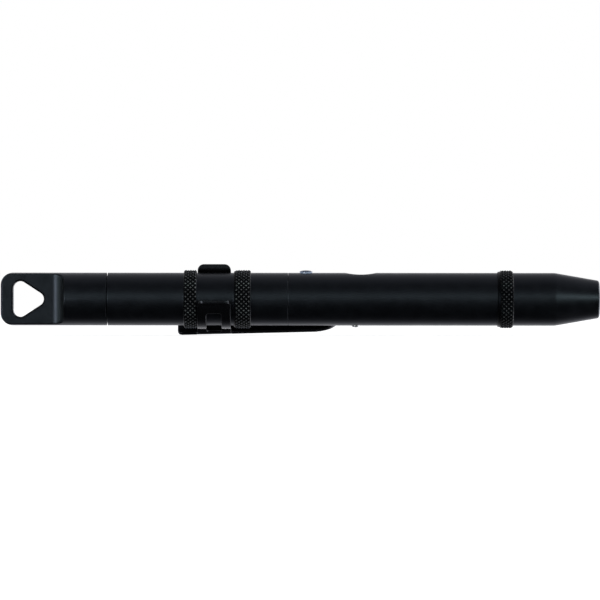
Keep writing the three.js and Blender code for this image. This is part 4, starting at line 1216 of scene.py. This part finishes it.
def studio():
    """A soft studio: dark behind the viewer, bright behind the pen, one long softbox."""
    world = bpy.data.worlds.new("studio")
    bpy.context.scene.world = world
    world.use_nodes = True
    tree = world.node_tree
    tree.nodes.clear()

    def add(kind, links=None, **settings):
        return add_node(tree, kind, links, **settings)

    def calc(operation, *values):
        return add("ShaderNodeMath", dict(enumerate(values)), operation=operation).outputs[0]

    def mix(factor, a, b, blend_type="MIX"):
        return add("ShaderNodeMix", {0: factor, 6: a, 7: b}, data_type="RGBA",
                blend_type=blend_type).outputs[2]

    def bell(value):
        return calc("EXPONENT", calc("MULTIPLY", calc("MULTIPLY", value, value), -1.0))

    def ramp(value, low, start, end, high):
        return add("ShaderNodeMapRange", {0: value, 1: start, 2: end, 3: low, 4: high},
                interpolation_type="SMOOTHSTEP").outputs[0]

    def table(angle, levels):
        shades = add("ShaderNodeValToRGB", {0: calc("DIVIDE", angle, 180.0)})
        marks = shades.color_ramp.elements
        while len(marks) < len(levels):
            marks.new(0.5)
        for mark, (place, _) in zip(marks, levels):
            mark.position = place / 180
        for mark, (_, level) in zip(marks, levels):
            mark.color = (level, level, level, 1)
        return shades.outputs[0]

    direction = add("ShaderNodeTexCoord").outputs["Generated"]
    split = add("ShaderNodeSeparateXYZ", {0: direction}).outputs
    side, up = split[1], split[2]
    endways = calc("ABSOLUTE", split[0])
    length = calc("SQRT", calc("ADD", calc("MULTIPLY", side, side), calc("MULTIPLY", up, up)))
    cosine = calc("DIVIDE", calc("MULTIPLY", side, -1.0), calc("MAXIMUM", length, 1e-4))
    angle = calc("MULTIPLY", calc("ARCCOSINE", cosine), 180 / math.pi)
    over = calc("GREATER_THAN", up, 0.0)
    room = mix(over, table(angle, LIGHT_BELOW), table(angle, LIGHT_ABOVE))
    signed = calc("MULTIPLY", angle, calc("SUBTRACT", calc("MULTIPLY", over, 2.0), 1.0))
    off = calc("DIVIDE", calc("SUBTRACT", signed, float(SOFTBOX_ANGLE)), float(SOFTBOX_WIDTH))
    lobe = calc("MULTIPLY", bell(off),
            calc("MULTIPLY", SOFTBOX_POWER, ramp(endways, 1.0, *SOFTBOX_ENDS)))
    tinted = mix(1.0, room, ROOM_TINT, "MULTIPLY")
    softbox = mix(1.0, lobe, SOFTBOX_TINT, "MULTIPLY")
    total = mix(1.0, tinted, softbox, "ADD")
    noseward = calc("MULTIPLY", ramp(split[0], *NOSEWARD_RISE), ramp(side, *NOSEWARD_BEHIND))
    tailward = calc("MULTIPLY", split[0], -1.0)
    tailward = calc("MULTIPLY", ramp(tailward, *TAILWARD_RISE), ramp(tailward, *TAILWARD_FALL))
    tailward = calc("MULTIPLY", tailward, bell(calc("DIVIDE", angle, TAILWARD_SPREAD)))
    glow = calc("ADD", calc("MULTIPLY", noseward, NOSEWARD_GLOW),
            calc("MULTIPLY", tailward, TAILWARD_GLOW))
    light = add("ShaderNodeBackground", {0: mix(1.0, total, glow, "ADD"), 1: 1.0})
    backdrop = add("ShaderNodeBackground", {0: (1, 1, 1, 1), 1: 1.0})
    seen = add("ShaderNodeLightPath").outputs["Is Camera Ray"]
    both = add("ShaderNodeMixShader", {0: seen, 1: light.outputs[0], 2: backdrop.outputs[0]})
    add("ShaderNodeOutputWorld", {0: both.outputs[0]})


CAMERA_LENS = 262.0
CAMERA_DISTANCE = 1.0925
CAMERA_AIM = (-0.0747, -0.0002)
CAMERA_ROLL = math.radians(-0.045)


def camera():
    """A long lens looking square on at the pen's side."""
    data = bpy.data.cameras.new("camera")
    data.lens = CAMERA_LENS
    data.sensor_width = 36.0
    data.clip_end = 20.0
    view = bpy.data.objects.new("camera", data)
    view.location = (CAMERA_AIM[0], -CAMERA_DISTANCE, CAMERA_AIM[1])
    view.rotation_euler = (math.pi / 2, CAMERA_ROLL, 0)
    bpy.context.scene.collection.objects.link(view)
    bpy.context.scene.camera = view


floor()
studio()
camera()
bpy.context.scene.view_settings.view_transform = "Standard"
